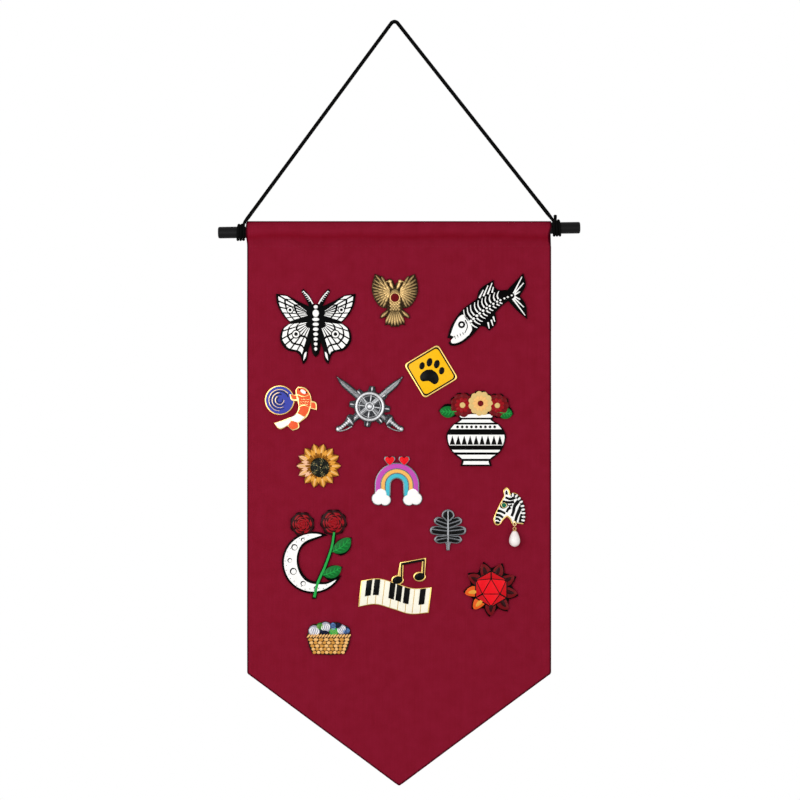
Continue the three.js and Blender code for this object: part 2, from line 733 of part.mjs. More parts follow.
// A point of the turns. The angle starts at the front and goes down, and side is -1 or 1.
function turnPoint(side, angle, tucked) {
  const degrees = THREE.MathUtils.radToDeg(angle);
  const last = 360 * TURNS;
  const climbed = smoothstep(degrees, last - CLIMB_START_DEG, last - CLIMB_END_DEG);
  const shifted = smoothstep(degrees, last - TUCK_START_DEG, last + TUCK_DEG);
  const climb = tucked ? TURN_PITCH * climbed : 0;
  const back = tucked ? TUCK_SHIFT * shifted : 0;
  const out = halfWidth + TURN_CLEAR + cordRadius + (TURN_PITCH * degrees) / 360 - back;
  const radius = turnRadius + climb;
  const local = new THREE.Vector3(side * out, -radius * Math.cos(angle), -radius * Math.sin(angle));
  return rodFrame.localToWorld(local);
}

// Where the straight cord from a knee touches the bend over the hang point
function hangTouch(knee, side) {
  const toKnee = new THREE.Vector2(knee.x - hangCentre.x, knee.z - hangCentre.z);
  const around = side * Math.acos(HANG_BEND / toKnee.length());
  const spoke = toKnee.normalize().rotateAround(new THREE.Vector2(), around);
  return new THREE.Vector3(spoke.x, 0, spoke.y).multiplyScalar(HANG_BEND).add(hangCentre);
}

// One end of the cord: its knee, its touch on the hang bend and the way between them
function cordEnd(side) {
  const first = turnPoint(side, 0, false);
  const up = new THREE.Vector3(0, 0, 1).applyQuaternion(rodFrame.quaternion);
  const knee = first.clone().addScaledVector(up, rodRadius + KNEE_RISE);
  const touch = hangTouch(knee, side);
  const way = touch.clone().sub(knee).normalize();
  const ease = KNEE_RADIUS * Math.tan(up.angleTo(way) / 2);
  return { side, up, knee, touch, way, ease };
}

function turnsPath(end, tucked, tail) {
  const { side, knee, up, way, ease } = end;
  const points = [knee.clone().addScaledVector(way, ease + CORD_DIAMETER)];
  const bendStart = knee.clone().addScaledVector(way, ease);
  const bendEnd = knee.clone().addScaledVector(up, -ease);
  points.push(...new THREE.QuadraticBezierCurve3(bendStart, knee, bendEnd).getPoints(KNEE_STEPS));
  const last = 2 * Math.PI * TURNS + (tucked ? THREE.MathUtils.degToRad(TUCK_DEG) : 0);
  const steps = Math.round((last / (2 * Math.PI)) * TURN_STEPS);
  for (let i = 1; i <= steps; i++) points.push(turnPoint(side, (last * i) / steps, tucked));
  const run = points.at(-1).clone().sub(points.at(-2)).normalize();
  points.push(points.at(-1).clone().addScaledVector(run, tail / 2));
  points.push(points.at(-1).clone().addScaledVector(run, tail / 2));
  return new THREE.CatmullRomCurve3(points);
}

function freePath(left, right) {
  const points = [];
  const legSteps = 8;
  const bendSteps = 8;
  for (const end of [left, right]) {
    const start = end.knee.clone().addScaledVector(end.way, end.ease + CORD_DIAMETER + CORD_JOIN);
    const leg = [];
    for (let i = 0; i <= legSteps; i++) leg.push(start.clone().lerp(end.touch, i / legSteps));
    if (end === right) leg.reverse();
    if (end === right) points.push(...hangBend(left.touch, right.touch, bendSteps));
    points.push(...leg);
  }
  return new THREE.CatmullRomCurve3(points);
}

function hangBend(from, to, steps) {
  const spokes = [from, to].map((point) => point.clone().sub(hangCentre));
  const start = Math.atan2(spokes[0].z, spokes[0].x);
  const end = Math.atan2(spokes[1].z, spokes[1].x);
  const points = [];
  for (let i = 1; i < steps; i++) {
    const angle = start + ((end - start) * i) / steps;
    const spoke = new THREE.Vector3(Math.cos(angle), 0, Math.sin(angle));
    points.push(spoke.multiplyScalar(HANG_BEND).add(hangCentre));
  }
  return points;
}

function tube(path, sides, step) {
  const section = [];
  for (let i = 0; i < sides; i++) {
    const angle = (2 * Math.PI * i) / sides;
    section.push(new THREE.Vector2(Math.cos(angle), Math.sin(angle)).multiplyScalar(cordRadius));
  }
  const steps = Math.round(path.getLength() / step);
  return new THREE.ExtrudeGeometry(new THREE.Shape(section), {
    steps,
    bevelEnabled: false,
    extrudePath: path,
  });
}

// The least gap between stretches of one path that lie more than half a turn apart along it
function leastGap(path) {
  const count = 400;
  const points = path.getSpacedPoints(count);
  const spacing = path.getLength() / count;
  const apart = Math.ceil((Math.PI * turnRadius) / spacing);
  let least = Infinity;
  for (let i = 0; i < count; i++) {
    for (let j = i + apart; j <= count; j++) least = Math.min(least, points[i].distanceTo(points[j]));
  }
  return least - CORD_DIAMETER;
}

const leftEnd = cordEnd(-1);
const rightEnd = cordEnd(1);
const leftTurns = turnsPath(leftEnd, false, LEFT_TAIL);
const rightTurns = turnsPath(rightEnd, true, RIGHT_TAIL);
const freeCord = freePath(leftEnd, rightEnd);
const turnStep = (2 * Math.PI * turnRadius) / TURN_STEPS;

place("hanging_cord", tube(freeCord, CORD_SIDES, CORD_STEP), BLACK_CORD);
place("left_cord_turns", tube(leftTurns, TURN_SIDES, turnStep), BLACK_CORD);
place("right_cord_turns", tube(rightTurns, TURN_SIDES, turnStep), BLACK_CORD);

// The drop: a wire ring through the brooch's eye, and a pearl on it

function dropRing() {
  const geometry = new THREE.TorusGeometry(RING_RADIUS, RING_WIRE / 2, RING_SIDES, ROUND_STEPS);
  return geometry.rotateY(Math.PI / 2).translate(eyeX, dropY, ringZ);
}

function pearlDrop() {
  const top = pearlEyeZ - eyeHole - EYE_RIM / 2;
  const points = [];
  const steps = 11;
  for (let i = 0; i <= steps; i++) {
    const angle = (Math.PI * i) / steps;
    const pear = 1 - PEAR_TAPER * Math.cos(angle / 2) ** 2;
    const radius = i % steps === 0 ? 0 : Math.sin(angle) * pear;
    points.push(new THREE.Vector2(radius, (PEARL_LENGTH * Math.cos(angle)) / 2));
  }
  const widest = Math.max(...points.map((point) => point.x));
  for (const point of points) point.x *= PEARL_DIAMETER / 2 / widest;
  const pearl = new THREE.LatheGeometry(points.reverse(), ROUND_STEPS).rotateX(Math.PI / 2);
  const body = solidOf(pearl.translate(eyeX, dropY, top - PEARL_LENGTH / 2));
  return body.add(eyeRing(eyeX, pearlEyeZ));
}

place("drop_ring", dropRing(), OLD_GOLD);
place("pearl_drop", geometryOf(pearlDrop()), PEARL);

// Gems: domed stones on the front of two badges

function gem(name, diameter, at, material) {
  const radius = diameter / 2;
  const points = [new THREE.Vector2(0, 0)];
  const steps = 5;
  for (let i = 0; i <= steps; i++) {
    const angle = (Math.PI * i) / (2 * steps);
    const height = radius * GEM_RISE * Math.sin(angle);
    points.push(new THREE.Vector2(i === steps ? 0 : radius * Math.cos(angle), height));
  }
  const mesh = place(name, new THREE.LatheGeometry(points, ROUND_STEPS), material);
  mesh.rotation.x = Math.PI;
  mesh.position.set(at.x, plateFront - SEAT_GAP, at.y);
}

gem("bird_gem", BIRD_GEM, placeOn("bird", BIRD_GEM_PLACE), RED_GLASS);
gem("zebra_gem", ZEBRA_GEM, placeOn("zebra", ZEBRA_GEM_PLACE), GREEN_GLASS);

const cordLength = [leftTurns, freeCord, rightTurns].reduce((sum, path) => sum + path.getLength(), 0);
console.log("cord length", cordLength.toFixed(1), "mm");
console.log("least gap in the turns", Math.min(leastGap(leftTurns), leastGap(rightTurns)).toFixed(2), "mm");

export default banner;
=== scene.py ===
# %% [markdown]
# A banner for pin badges, dressed in Blender. The frame already holds every piece at its real size and
# place, in metres, with the hang point at the origin and the front towards -Y. The lesson adds what the
# eye sees: the canvas and its folds, the lay of the cord, the relief and the enamel of fifteen badges.

# %% Load the frame
import json
import math

import bmesh
import bpy
from mathutils import Matrix, Vector, noise


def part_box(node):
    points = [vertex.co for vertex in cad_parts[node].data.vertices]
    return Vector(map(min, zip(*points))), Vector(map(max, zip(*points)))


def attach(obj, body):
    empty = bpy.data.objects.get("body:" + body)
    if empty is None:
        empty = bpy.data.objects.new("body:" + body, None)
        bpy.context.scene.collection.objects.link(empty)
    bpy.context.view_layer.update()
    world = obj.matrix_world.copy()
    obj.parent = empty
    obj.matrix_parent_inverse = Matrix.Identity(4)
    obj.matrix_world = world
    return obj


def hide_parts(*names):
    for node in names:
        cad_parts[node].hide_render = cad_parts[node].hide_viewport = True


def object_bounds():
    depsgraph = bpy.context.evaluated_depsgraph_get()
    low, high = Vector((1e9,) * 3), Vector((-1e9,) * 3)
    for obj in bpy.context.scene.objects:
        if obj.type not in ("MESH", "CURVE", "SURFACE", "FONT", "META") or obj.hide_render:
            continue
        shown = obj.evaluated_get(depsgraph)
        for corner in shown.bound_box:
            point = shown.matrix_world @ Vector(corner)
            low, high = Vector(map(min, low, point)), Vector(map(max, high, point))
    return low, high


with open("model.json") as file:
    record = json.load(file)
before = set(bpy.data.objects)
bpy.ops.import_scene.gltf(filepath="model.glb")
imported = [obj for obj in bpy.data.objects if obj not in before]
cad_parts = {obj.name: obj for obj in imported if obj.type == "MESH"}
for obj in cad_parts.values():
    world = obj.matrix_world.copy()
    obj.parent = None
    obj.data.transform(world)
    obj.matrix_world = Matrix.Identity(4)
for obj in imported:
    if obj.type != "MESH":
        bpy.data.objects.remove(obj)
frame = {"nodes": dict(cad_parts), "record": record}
cad_low, cad_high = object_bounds()
MM = 0.001
joints = {joint["name"]: joint for joint in frame["record"]["behaviour"]["joints"]}
scene = bpy.context.scene

# %% [markdown]
# The camera stands straight in front, as the photograph's did. One pixel of the photograph is a known
# length on the banner, so the width of the view and the lens give the distance. A long lens keeps the
# sides of the cloth parallel.

# %% Camera
PHOTO_PIXELS = 800
PIXEL = 0.691 * MM
HANG_PIXEL = (394.5, 22.8)  # where the photograph shows the frame's origin
LENS, SENSOR = 100, 36

camera_data = bpy.data.cameras.new("photo_camera")
camera_data.lens = LENS
camera_data.sensor_width = SENSOR
camera = bpy.data.objects.new("photo_camera", camera_data)
scene.collection.objects.link(camera)
scene.camera = camera
camera_distance = PHOTO_PIXELS * PIXEL * LENS / SENSOR
camera.location = (
    (PHOTO_PIXELS / 2 - HANG_PIXEL[0]) * PIXEL,
    -camera_distance,
    (HANG_PIXEL[1] - PHOTO_PIXELS / 2) * PIXEL,
)
camera.rotation_euler = (math.radians(90), 0, 0)
print("camera stands", round(camera_distance, 3), "m in front")

# %% [markdown]
# Every material is a small tree of nodes. One function adds a node, sets its sockets and links them, so a
# material reads as a list of what it is made of, and ends in one shader. Colours are written as sRGB hex
# values, as a paint chart gives them, and one function turns them to the linear values that the renderer
# wants. Several finishes are alike: two shades that drift into each other, and a faint relief.

# %% Nodes and colours
WHITE, BLACK = (1, 1, 1, 1), (0, 0, 0, 1)
MIX_FACTOR, MIX_A, MIX_B = 0, 6, 7  # a Mix node has other sockets of the same names, for plain numbers


def add(tree, kind, inputs=None, **settings):
    """Adds one node. Settings go on the node, and values, sockets or whole nodes on its inputs."""
    made = tree.nodes.new("ShaderNode" + kind)
    for name, value in settings.items():
        setattr(made, name, value)
    for socket, value in (inputs or {}).items():
        if isinstance(value, bpy.types.Node):
            value = next(output for output in value.outputs if output.enabled)
        if isinstance(value, bpy.types.NodeSocket):
            tree.links.new(value, made.inputs[socket])
        else:
            made.inputs[socket].default_value = value
    return made


def srgb(code):
    """An sRGB hex colour as linear red, green, blue and alpha."""
    parts = [int(code[i:i + 2], 16) / 255 for i in (1, 3, 5)]
    return (*[c / 12.92 if c < 0.04045 else ((c + 0.055) / 1.055) ** 2.4 for c in parts], 1)


def new_material(name):
    """A material and its empty tree of nodes."""
    made = bpy.data.materials.new(name)
    made.use_nodes = True
    made.node_tree.nodes.clear()
    return made, made.node_tree


def surface(tree, **sockets):
    """Ends a tree in one shader, whose sockets are named with _ for a space."""
    shader = add(tree, "BsdfPrincipled", {name.replace("_", " "): value for name, value in sockets.items()})
    add(tree, "OutputMaterial", {"Surface": shader})


def two_shades(name, dark, light, size, relief=None, **sockets):
    """A finish in two shades, in clouds of a size. A relief is the size of its lumps and its depth."""
    made, tree = new_material(name)
    place = add(tree, "TexCoord").outputs["Object"]
    cloud = add(tree, "TexNoise", {"Vector": place, "Scale": 1 / size, "Detail": 3})
    colour = add(tree, "Mix", {MIX_FACTOR: cloud, MIX_A: dark, MIX_B: light}, data_type="RGBA")
    if relief:
        lumps = add(tree, "TexNoise", {"Vector": place, "Scale": 1 / relief[0], "Detail": 3})
        sockets["Normal"] = add(tree, "Bump", {"Height": lumps, "Distance": relief[1], "Strength": 1})
    surface(tree, Base_Color=colour, **sockets)
    return made


# %% [markdown]
# The studio is plain: a pale floor well below the banner, an even white surround and two soft lamps. The
# surround is white to the camera and in reflections, by its Light Path, and gives a gentler light to the
# cloth. The lamps stand at the left and right of the camera, so that relief has a lit and a shaded side.

# %% Floor, surround and lamps
SURROUND_LIGHT = 0.66
FLOOR_DROP = 1.5
FLOOR_SIZE = 30
FLOOR_CLOUD = 0.2
LAMP_SIZE = 0.5
LAMPS = {"key": ((-0.34, -0.7, -0.2), 3.1), "fill": ((0.38, -0.74, -0.3), 1.6)}  # the place, and watts


def seen_or_lighting(tree, seen, lighting):
    """The first shader for camera, glossy and transmitted rays, and the second for light on the object."""
    path = add(tree, "LightPath").outputs
    direct = add(tree, "Math", {0: path["Is Camera Ray"], 1: path["Is Glossy Ray"]}, operation="MAXIMUM")
    rays = add(tree, "Math", {0: direct, 1: path["Is Transmission Ray"]}, operation="MAXIMUM")
    return add(tree, "MixShader", {0: rays, 1: lighting, 2: seen})


world = bpy.data.worlds.new("white_studio")
world.use_nodes = True
tree = world.node_tree
tree.nodes.clear()
seen = add(tree, "Background", {"Color": WHITE, "Strength": 1})
lighting = add(tree, "Background", {"Color": WHITE, "Strength": SURROUND_LIGHT})
add(tree, "OutputWorld", {"Surface": seen_or_lighting(tree, seen, lighting)})
scene.world = world

floor_paint, tree = new_material("matt_white_floor_paint")
place = add(tree, "TexCoord").outputs["Object"]
cloud = add(tree, "TexNoise", {"Vector": place, "Scale": 1 / FLOOR_CLOUD, "Detail": 3})
shades = {MIX_FACTOR: cloud, MIX_A: srgb("#e8e8e6"), MIX_B: srgb("#f2f2f0")}
colour = add(tree, "Mix", shades, data_type="RGBA")
paint = add(tree, "BsdfPrincipled", {"Base Color": colour, "Roughness": 0.9})
glow = add(tree, "Emission", {"Color": WHITE, "Strength": 1})
add(tree, "OutputMaterial", {"Surface": seen_or_lighting(tree, glow, paint)})

made = bmesh.new()
bmesh.ops.create_grid(made, x_segments=1, y_segments=1, size=FLOOR_SIZE / 2)
bmesh.ops.translate(made, verts=made.verts, vec=(0, 0, -FLOOR_DROP))
floor_mesh = bpy.data.meshes.new("floor")
made.to_mesh(floor_mesh)
made.free()
floor_mesh.materials.append(floor_paint)
floor = bpy.data.objects.new("floor", floor_mesh)
scene.collection.objects.link(floor)

banner_middle = Vector((0, 0, (cad_low.z + cad_high.z) / 2))
for name, (place, watts) in LAMPS.items():
    lamp_data = bpy.data.lights.new(name, "AREA")
    lamp_data.energy = watts
    lamp_data.size = LAMP_SIZE
    lamp = bpy.data.objects.new(name, lamp_data)
    scene.collection.objects.link(lamp)
    lamp.location = place
    lamp.rotation_euler = (banner_middle - lamp.location).to_track_quat("-Z", "Y").to_euler()
scene.view_settings.view_transform = "Standard"
print("studio: floor", FLOOR_DROP, "m below the hang point,", len(LAMPS), "lamps")

# %% [markdown]
# Pieces are modelled with bmesh. One function turns a finished bmesh into an object: it smooths the faces,
# keeps edges sharper than an angle, gives the finishes, puts the piece on the body it rides on and hides the
# CAD nodes it stands for. Another rounds edges, because no edge of a real piece is quite sharp.

# %% From bmesh to piece
WELD = 0.001 * MM  # points nearer than this are made one


def piece(name, made, finishes, body, *nodes, slot=None, sharp=40):
    """Turns a bmesh into a piece that rides on a body and stands for some CAD nodes."""
    mesh = bpy.data.meshes.new(name)
    made.to_mesh(mesh)
    made.free()
    for each in finishes:
        mesh.materials.append(each)
    mesh.shade_smooth()
    mesh.set_sharp_from_angle(angle=math.radians(sharp))
    obj = bpy.data.objects.new(name, mesh)
    scene.collection.objects.link(obj)
    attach(obj, body)
    if nodes:
        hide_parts(*nodes)
    return obj


def bevel(made, edges, offset, segments):
    """Rounds edges by an offset."""
    bmesh.ops.bevel(
        made, geom=edges, offset=offset, offset_type="OFFSET", segments=segments, profile=0.5, affect="EDGES",
        clamp_overlap=False, material=-1,
    )


# %% [markdown]
# The cord is one length of waxed cotton. It is wound two and a half times round each end of the dowel, where
# it is drawn tight and thin, and goes up to the hang point and over it. The turns come first: a screw line
# about the tilted dowel. The right end climbs over its own turns, tucks back and stands up.

# %% The turns on the dowel
ROD_RADIUS = 4 * MM
TIGHT_RADIUS = 0.97 * MM  # the cord's, in the turns
CORD_EASE = 0.05 * MM
TURN_PITCH = 1.98 * MM
TURNS, TURN_STEP_DEG = 2.5, 7.5
TURN_CLEAR = {-1: 1.1 * MM, 1: 0.6 * MM}  # between the cloth and the first turn, at the left and the right
TUCK_DEG, TUCK_START_DEG, TUCK_SHIFT = 40, 45, 3.4 * MM
CLIMB_START_DEG, CLIMB_END_DEG = 75, 25

rod_middle = Vector(joints["banner_swing"]["pos_m"])
rod_along = Vector(joints["banner_swing"]["axis"]).normalized()
rod_up = rod_along.cross((0, 1, 0))
cloth_low, cloth_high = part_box("front_panel")
half_width = (cloth_high.x - cloth_low.x) / 2


def ease(value, low, high):
    """0 below low, 1 above high and a smooth step between them."""
    share = min(max((value - low) / (high - low), 0), 1)
    return share * share * (3 - 2 * share)


def turn_point(side, degrees, tucked):
    """A point of the turns, which start at the front and go down."""
    last = 360 * TURNS
    climb = TURN_PITCH * ease(degrees, last - CLIMB_START_DEG, last - CLIMB_END_DEG) * tucked
    back = TUCK_SHIFT * ease(degrees, last - TUCK_START_DEG, last + TUCK_DEG) * tucked
    out = half_width + TURN_CLEAR[side] + TIGHT_RADIUS + TURN_PITCH * degrees / 360 - back
    radius = ROD_RADIUS + CORD_EASE + TIGHT_RADIUS + climb
    angle = math.radians(degrees)
    around = Vector((0, -math.cos(angle), 0)) - rod_up * math.sin(angle)
    return rod_middle + rod_along * side * out + radius * around


print("turns:", TURNS, "round each end of the dowel")

# %% [markdown]
# Each half of the cord runs from the hang bend down a straight leg, round a soft knee into the turns, and
# out along a short tail. With the small bend over the hang point the two halves make one line. It is divided
# at even steps, so that the strands twist evenly along it.

# %% The cord's route
LEFT_TAIL, RIGHT_TAIL = 2 * MM, 5.4 * MM
KNEE_RISE = {-1: 1.6 * MM, 1: 0.3 * MM}  # above the dowel's top
KNEE_RADIUS, KNEE_STEPS = 5 * MM, 8
HANG_BEND, HANG_STEPS = 2.75 * MM, 12
HANG_RISE = 0.8 * MM  # the middle of the cord, above the hang point
CORD_STEP = 0.7 * MM

hang_centre = Vector((0, 0, HANG_RISE - HANG_BEND))


def cord_end(side, tucked, tail):
    """From the touch on the hang bend down to the knee, round the turns and out along the tail."""
    knee = turn_point(side, 0, False) + rod_up * (ROD_RADIUS + KNEE_RISE[side])
    spoke = Vector((knee.x, knee.z)) - hang_centre.xz
    around = Matrix.Rotation(side * math.acos(HANG_BEND / spoke.length), 2)
    touch = around @ spoke.normalized() * HANG_BEND + hang_centre.xz
    touch = Vector((touch.x, 0, touch.y))
    way = (touch - knee).normalized()
    bend = KNEE_RADIUS * math.tan(rod_up.angle(way) / 2)
    points = [touch]
    for i in range(KNEE_STEPS + 1):
        t = i / KNEE_STEPS
        points.append(knee + way * bend * (1 - t) ** 2 - rod_up * bend * t ** 2)
    last = 360 * TURNS + TUCK_DEG * tucked
    steps = round(last / TURN_STEP_DEG)
    points += [turn_point(side, last * i / steps, tucked) for i in range(1, steps + 1)]
    points.append(points[-1] + (points[-1] - points[-2]).normalized() * tail)
    return points


def hang_arc(start, end):
    """Points over the hang bend, between the two touches."""
    first, last = (math.atan2((p - hang_centre).z, (p - hang_centre).x) for p in (start, end))
    angles = [first + (last - first) * i / HANG_STEPS for i in range(1, HANG_STEPS)]
    return [hang_centre + HANG_BEND * Vector((math.cos(a), 0, math.sin(a))) for a in angles]


def evenly(points, step):
    """The same line with points at an even step."""
    spots = [points[0]]
    left = step
    for a, b in zip(points, points[1:]):
        length = (b - a).length
        while left <= length:
            spots.append(a.lerp(b, left / length))
            left += step
        left -= length
    return spots


left_end = cord_end(-1, False, LEFT_TAIL)
right_end = cord_end(1, True, RIGHT_TAIL)
cord_route = evenly(left_end[::-1] + hang_arc(left_end[0], right_end[0]) + right_end, CORD_STEP)

# %% [markdown]
# A plain tube would look like wire. A section swept along the route as a curve's bevel, and twisted as it
# goes, gives the lay of strands. The curve is thinner where the cord is drawn tight on the dowel. It becomes
# a mesh at once, so that it can be cleaned and dressed like the other pieces.

# %% Sweeping a section
CORD_RADIUS = 1.36 * MM
TAPER_START, TAPER_END = 6 * MM, 11 * MM  # from the dowel's axis: where the cord grows to its full width


def flat_spline(name, points, closed):
    """A curve of one straight-sided spline."""
    data = bpy.data.curves.new(name, "CURVE")
    data.dimensions = "3D"
    spline = data.splines.new("POLY")
    spline.points.add(len(points) - 1)
    for knot, place in zip(spline.points, points):
        knot.co = (*place, 1)
    spline.use_cyclic_u = closed
    obj = bpy.data.objects.new(name, data)
    scene.collection.objects.link(obj)
    return obj


def thickness(point):
    """The cord's radius as a share of its full radius: less where it is drawn tight on the dowel."""
    away = (point - rod_middle).cross(rod_along).length
    tight = TIGHT_RADIUS / CORD_RADIUS
    return tight + (1 - tight) * ease(away, TAPER_START, TAPER_END)


def swept(name, points, section, lay):
    """A bmesh of a section swept along points, twisted once every lay."""
    path = flat_spline(name, points, False)
    for i, knot in enumerate(path.data.splines[0].points):
        knot.tilt = 2 * math.pi * i * CORD_STEP / lay
        knot.radius = thickness(points[i])
    profile = flat_spline(name + "_section", section, True)
    path.data.bevel_mode = "OBJECT"
    path.data.bevel_object = profile
    path.data.use_fill_caps = True
    bpy.context.view_layer.update()
    tube = bpy.data.meshes.new_from_object(path.evaluated_get(bpy.context.evaluated_depsgraph_get()))
    made = bmesh.new()
    made.from_mesh(tube)
    for each in (path, profile):
        bpy.data.objects.remove(each)
    bpy.data.meshes.remove(tube)
    bmesh.ops.remove_doubles(made, verts=made.verts, dist=WELD)
    bmesh.ops.recalc_face_normals(made, faces=made.faces)
    return made


# %% [markdown]
# Waxed cotton is nearly black, with a soft gloss on the crowns of its strands and fine fibre between them.
# The cord is laid from three strands, so its section has three lobes.

# %% The cord
CORD_LAY = 7 * MM  # one full twist of the strands
CORD_STRANDS = 3
LOBE = 0.02  # how far the strands swell, as a share of the radius
SECTION_POINTS = 24
FIBRE, FIBRE_DEPTH = 0.35 * MM, 0.05 * MM

waxed_cotton = two_shades(
    "waxed_cotton_cord", srgb("#040404"), srgb("#101010"), FIBRE, (FIBRE, FIBRE_DEPTH),
    Roughness=0.8, Specular_IOR_Level=0.02,
)
section = []
for i in range(SECTION_POINTS):
    angle = 2 * math.pi * i / SECTION_POINTS
    reach = CORD_RADIUS * (1 + LOBE * math.cos(CORD_STRANDS * angle))
    section.append((reach * math.cos(angle), reach * math.sin(angle), 0))
cord = piece(
    "twisted_cord", swept("twisted_cord", cord_route, section, CORD_LAY), [waxed_cotton], "hanger",
    "hanging_cord", "left_cord_turns", "right_cord_turns", slot="black_cord", sharp=60,
)
print("cord:", len(cord.data.polygons), "faces")

# %% [markdown]
# The dowel is beech, turned to eight millimetres and painted black. Under the paint the grain still shows
# as fine lines along the rod, so its noise is stretched that way. The rims are sanded round.

# %% The dowel
ROD_SEGMENTS = 64
ROD_EDGE = 1.1 * MM
GRAIN = (40 * MM, 0.5 * MM, 0.5 * MM)  # the length and the width of a grain line
GRAIN_DEPTH = 0.08 * MM

painted_beech, tree = new_material("black_painted_beech")
place = add(tree, "TexCoord").outputs["Object"]
stretched = add(tree, "Mapping", {"Vector": place, "Scale": [1 / size for size in GRAIN]})
grain = add(tree, "TexNoise", {"Vector": stretched, "Scale": 1, "Detail": 3})
shades = {MIX_FACTOR: grain, MIX_A: srgb("#070707"), MIX_B: srgb("#141314")}
surface(
    tree, Base_Color=add(tree, "Mix", shades, data_type="RGBA"), Roughness=0.5, Specular_IOR_Level=0.09,
    Normal=add(tree, "Bump", {"Height": grain, "Distance": GRAIN_DEPTH, "Strength": 1}),
)

rod_length = 2 * (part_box("dowel_rod")[1].x - rod_middle.x) / rod_along.x
made = bmesh.new()
bmesh.ops.create_cone(
    made, segments=ROD_SEGMENTS, radius1=ROD_RADIUS, radius2=ROD_RADIUS, depth=rod_length, cap_ends=True,
)
rims = [edge for edge in made.edges if abs(edge.verts[0].co.z - edge.verts[1].co.z) < WELD]
bevel(made, rims, ROD_EDGE, 4)
made.transform(Matrix.Translation(rod_middle) @ rod_along.to_track_quat("Z", "Y").to_matrix().to_4x4())
piece("painted_dowel", made, [painted_beech], "rod", "dowel_rod", slot="black_wood")
print("dowel:", round(rod_length, 4), "m long")

# %% [markdown]
# The pennant is dyed cotton canvas in two layers. The front layer runs on upwards, over the dowel and down
# behind it to a hem, which makes the pocket. Seen from the side it is one line: flat, out round the dowel,
# and back. Every point of the flat cloth gets its place by its distance along that line, so the cloth keeps
# its true length.

# %% The cloth's line
CLOTH = 0.7 * MM
HEM = 8 * MM
POCKET_FALL = 8 * MM  # from the foot of the pocket to the seam
POCKET_EASE = 0.35 * MM
SHOULDER_DROP, POINT_DROP = 312.7 * MM, 390.5 * MM  # below the top: the sides' lower ends, and the point
FOLD_STEPS = 24  # over the dowel
SOFTEN = 1.6 * MM  # how far round a fold the cloth bends

middle_x = (cloth_low.x + cloth_high.x) / 2
top_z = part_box("rod_pocket")[1].z
point_z = top_z - POINT_DROP
shoulder_z = top_z - SHOULDER_DROP
slope = Vector((half_width, shoulder_z - point_z)).normalized()
inner_half = ROD_RADIUS + POCKET_EASE
pocket_half = inner_half + CLOTH / 2
slack = half_width * rod_along.z / rod_along.x
upper_z = top_z - CLOTH / 2 - pocket_half
foot_z = rod_middle.z - slack - (math.hypot(inner_half, POCKET_FALL) - POCKET_FALL)
seam_z = foot_z - POCKET_FALL
seam_height = seam_z - point_z

fold = [Vector((-CLOTH / 2, point_z)), Vector((-CLOTH / 2, seam_z)), Vector((-pocket_half, foot_z))]
for i in range(FOLD_STEPS + 1):
    angle = math.pi * (1 - i / FOLD_STEPS)
    fold.append(Vector((pocket_half * math.cos(angle), upper_z + pocket_half * math.sin(angle))))
fold += [Vector((pocket_half, foot_z)), Vector((1.5 * CLOTH, seam_z)), Vector((1.5 * CLOTH, seam_z - HEM))]
fold_lengths = [0.0]
for a, b in zip(fold, fold[1:]):
    fold_lengths.append(fold_lengths[-1] + (b - a).length)
foot_length, crest_length = fold_lengths[2], fold_lengths[3 + FOLD_STEPS // 2]
cloth_length = fold_lengths[-1]


def along_fold(distance):
    """Where the front layer's middle is, in Y and Z, at a distance along it from the point."""
    for i in range(1, len(fold)):
        if distance <= fold_lengths[i] or i == len(fold) - 1:
            share = (distance - fold_lengths[i - 1]) / (fold_lengths[i] - fold_lengths[i - 1])
            return fold[i - 1].lerp(fold[i], share)


def soft_fold(distance):
    """The same, with its corners softened as cloth bends."""
    spots = [along_fold(min(max(distance + SOFTEN * i / 2, 0), cloth_length)) for i in range(-2, 3)]
    return sum(spots, Vector((0, 0))) / len(spots)


print("cloth:", round(cloth_length, 4), "m along the front layer, seam at", round(seam_z, 4))

# %% [markdown]
# Canvas that hangs is never quite flat. Both layers share one slow undulation, drawn from noise. It dies away
# under the badges, which hold the cloth flat, and towards the pocket. The pocket's ends are a little round,
# and the front of its right end is drawn in, so that the cloth can swing past the cord.

# %% The cloth's undulation and ends
SWAY, SWAY_LENGTH = 0.9 * MM, 45 * MM  # how far the cloth goes to and fro, and over what length
SWAY_STRETCH = 0.7  # the waves are longer down the cloth than across it
SWAY_SLICE = 0.3  # where the noise is sliced
BADGE_HOLD, SEAM_HOLD = 18 * MM, 30 * MM  # how far round a badge, and below the seam, the cloth is held
LEFT_END, RIGHT_END = (3 * MM, 0.6 * MM), (1.2 * MM, 0)  # how round the pocket ends are, and how far out
END_POWER = 12  # the higher, the closer to its end the pocket is shaped
MOUTH = 1.6 * MM  # how far the right end is drawn in

badge_boxes = [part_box(node) for node in frame["nodes"] if node.endswith("_badge") or node == "pearl_drop"]


def sway(x, z):
    """How far back or forward the free cloth lies; none under a badge or near the pocket."""
    apart = min(
        math.hypot(max(low.x - x, x - high.x, 0), max(low.z - z, z - high.z, 0)) for low, high in badge_boxes
    )
    free = ease(apart, 0, BADGE_HOLD) * ease(seam_z - z, 0, SEAM_HOLD)
    return SWAY * free * noise.noise(Vector((x, SWAY_SLICE, z * SWAY_STRETCH)) / SWAY_LENGTH)


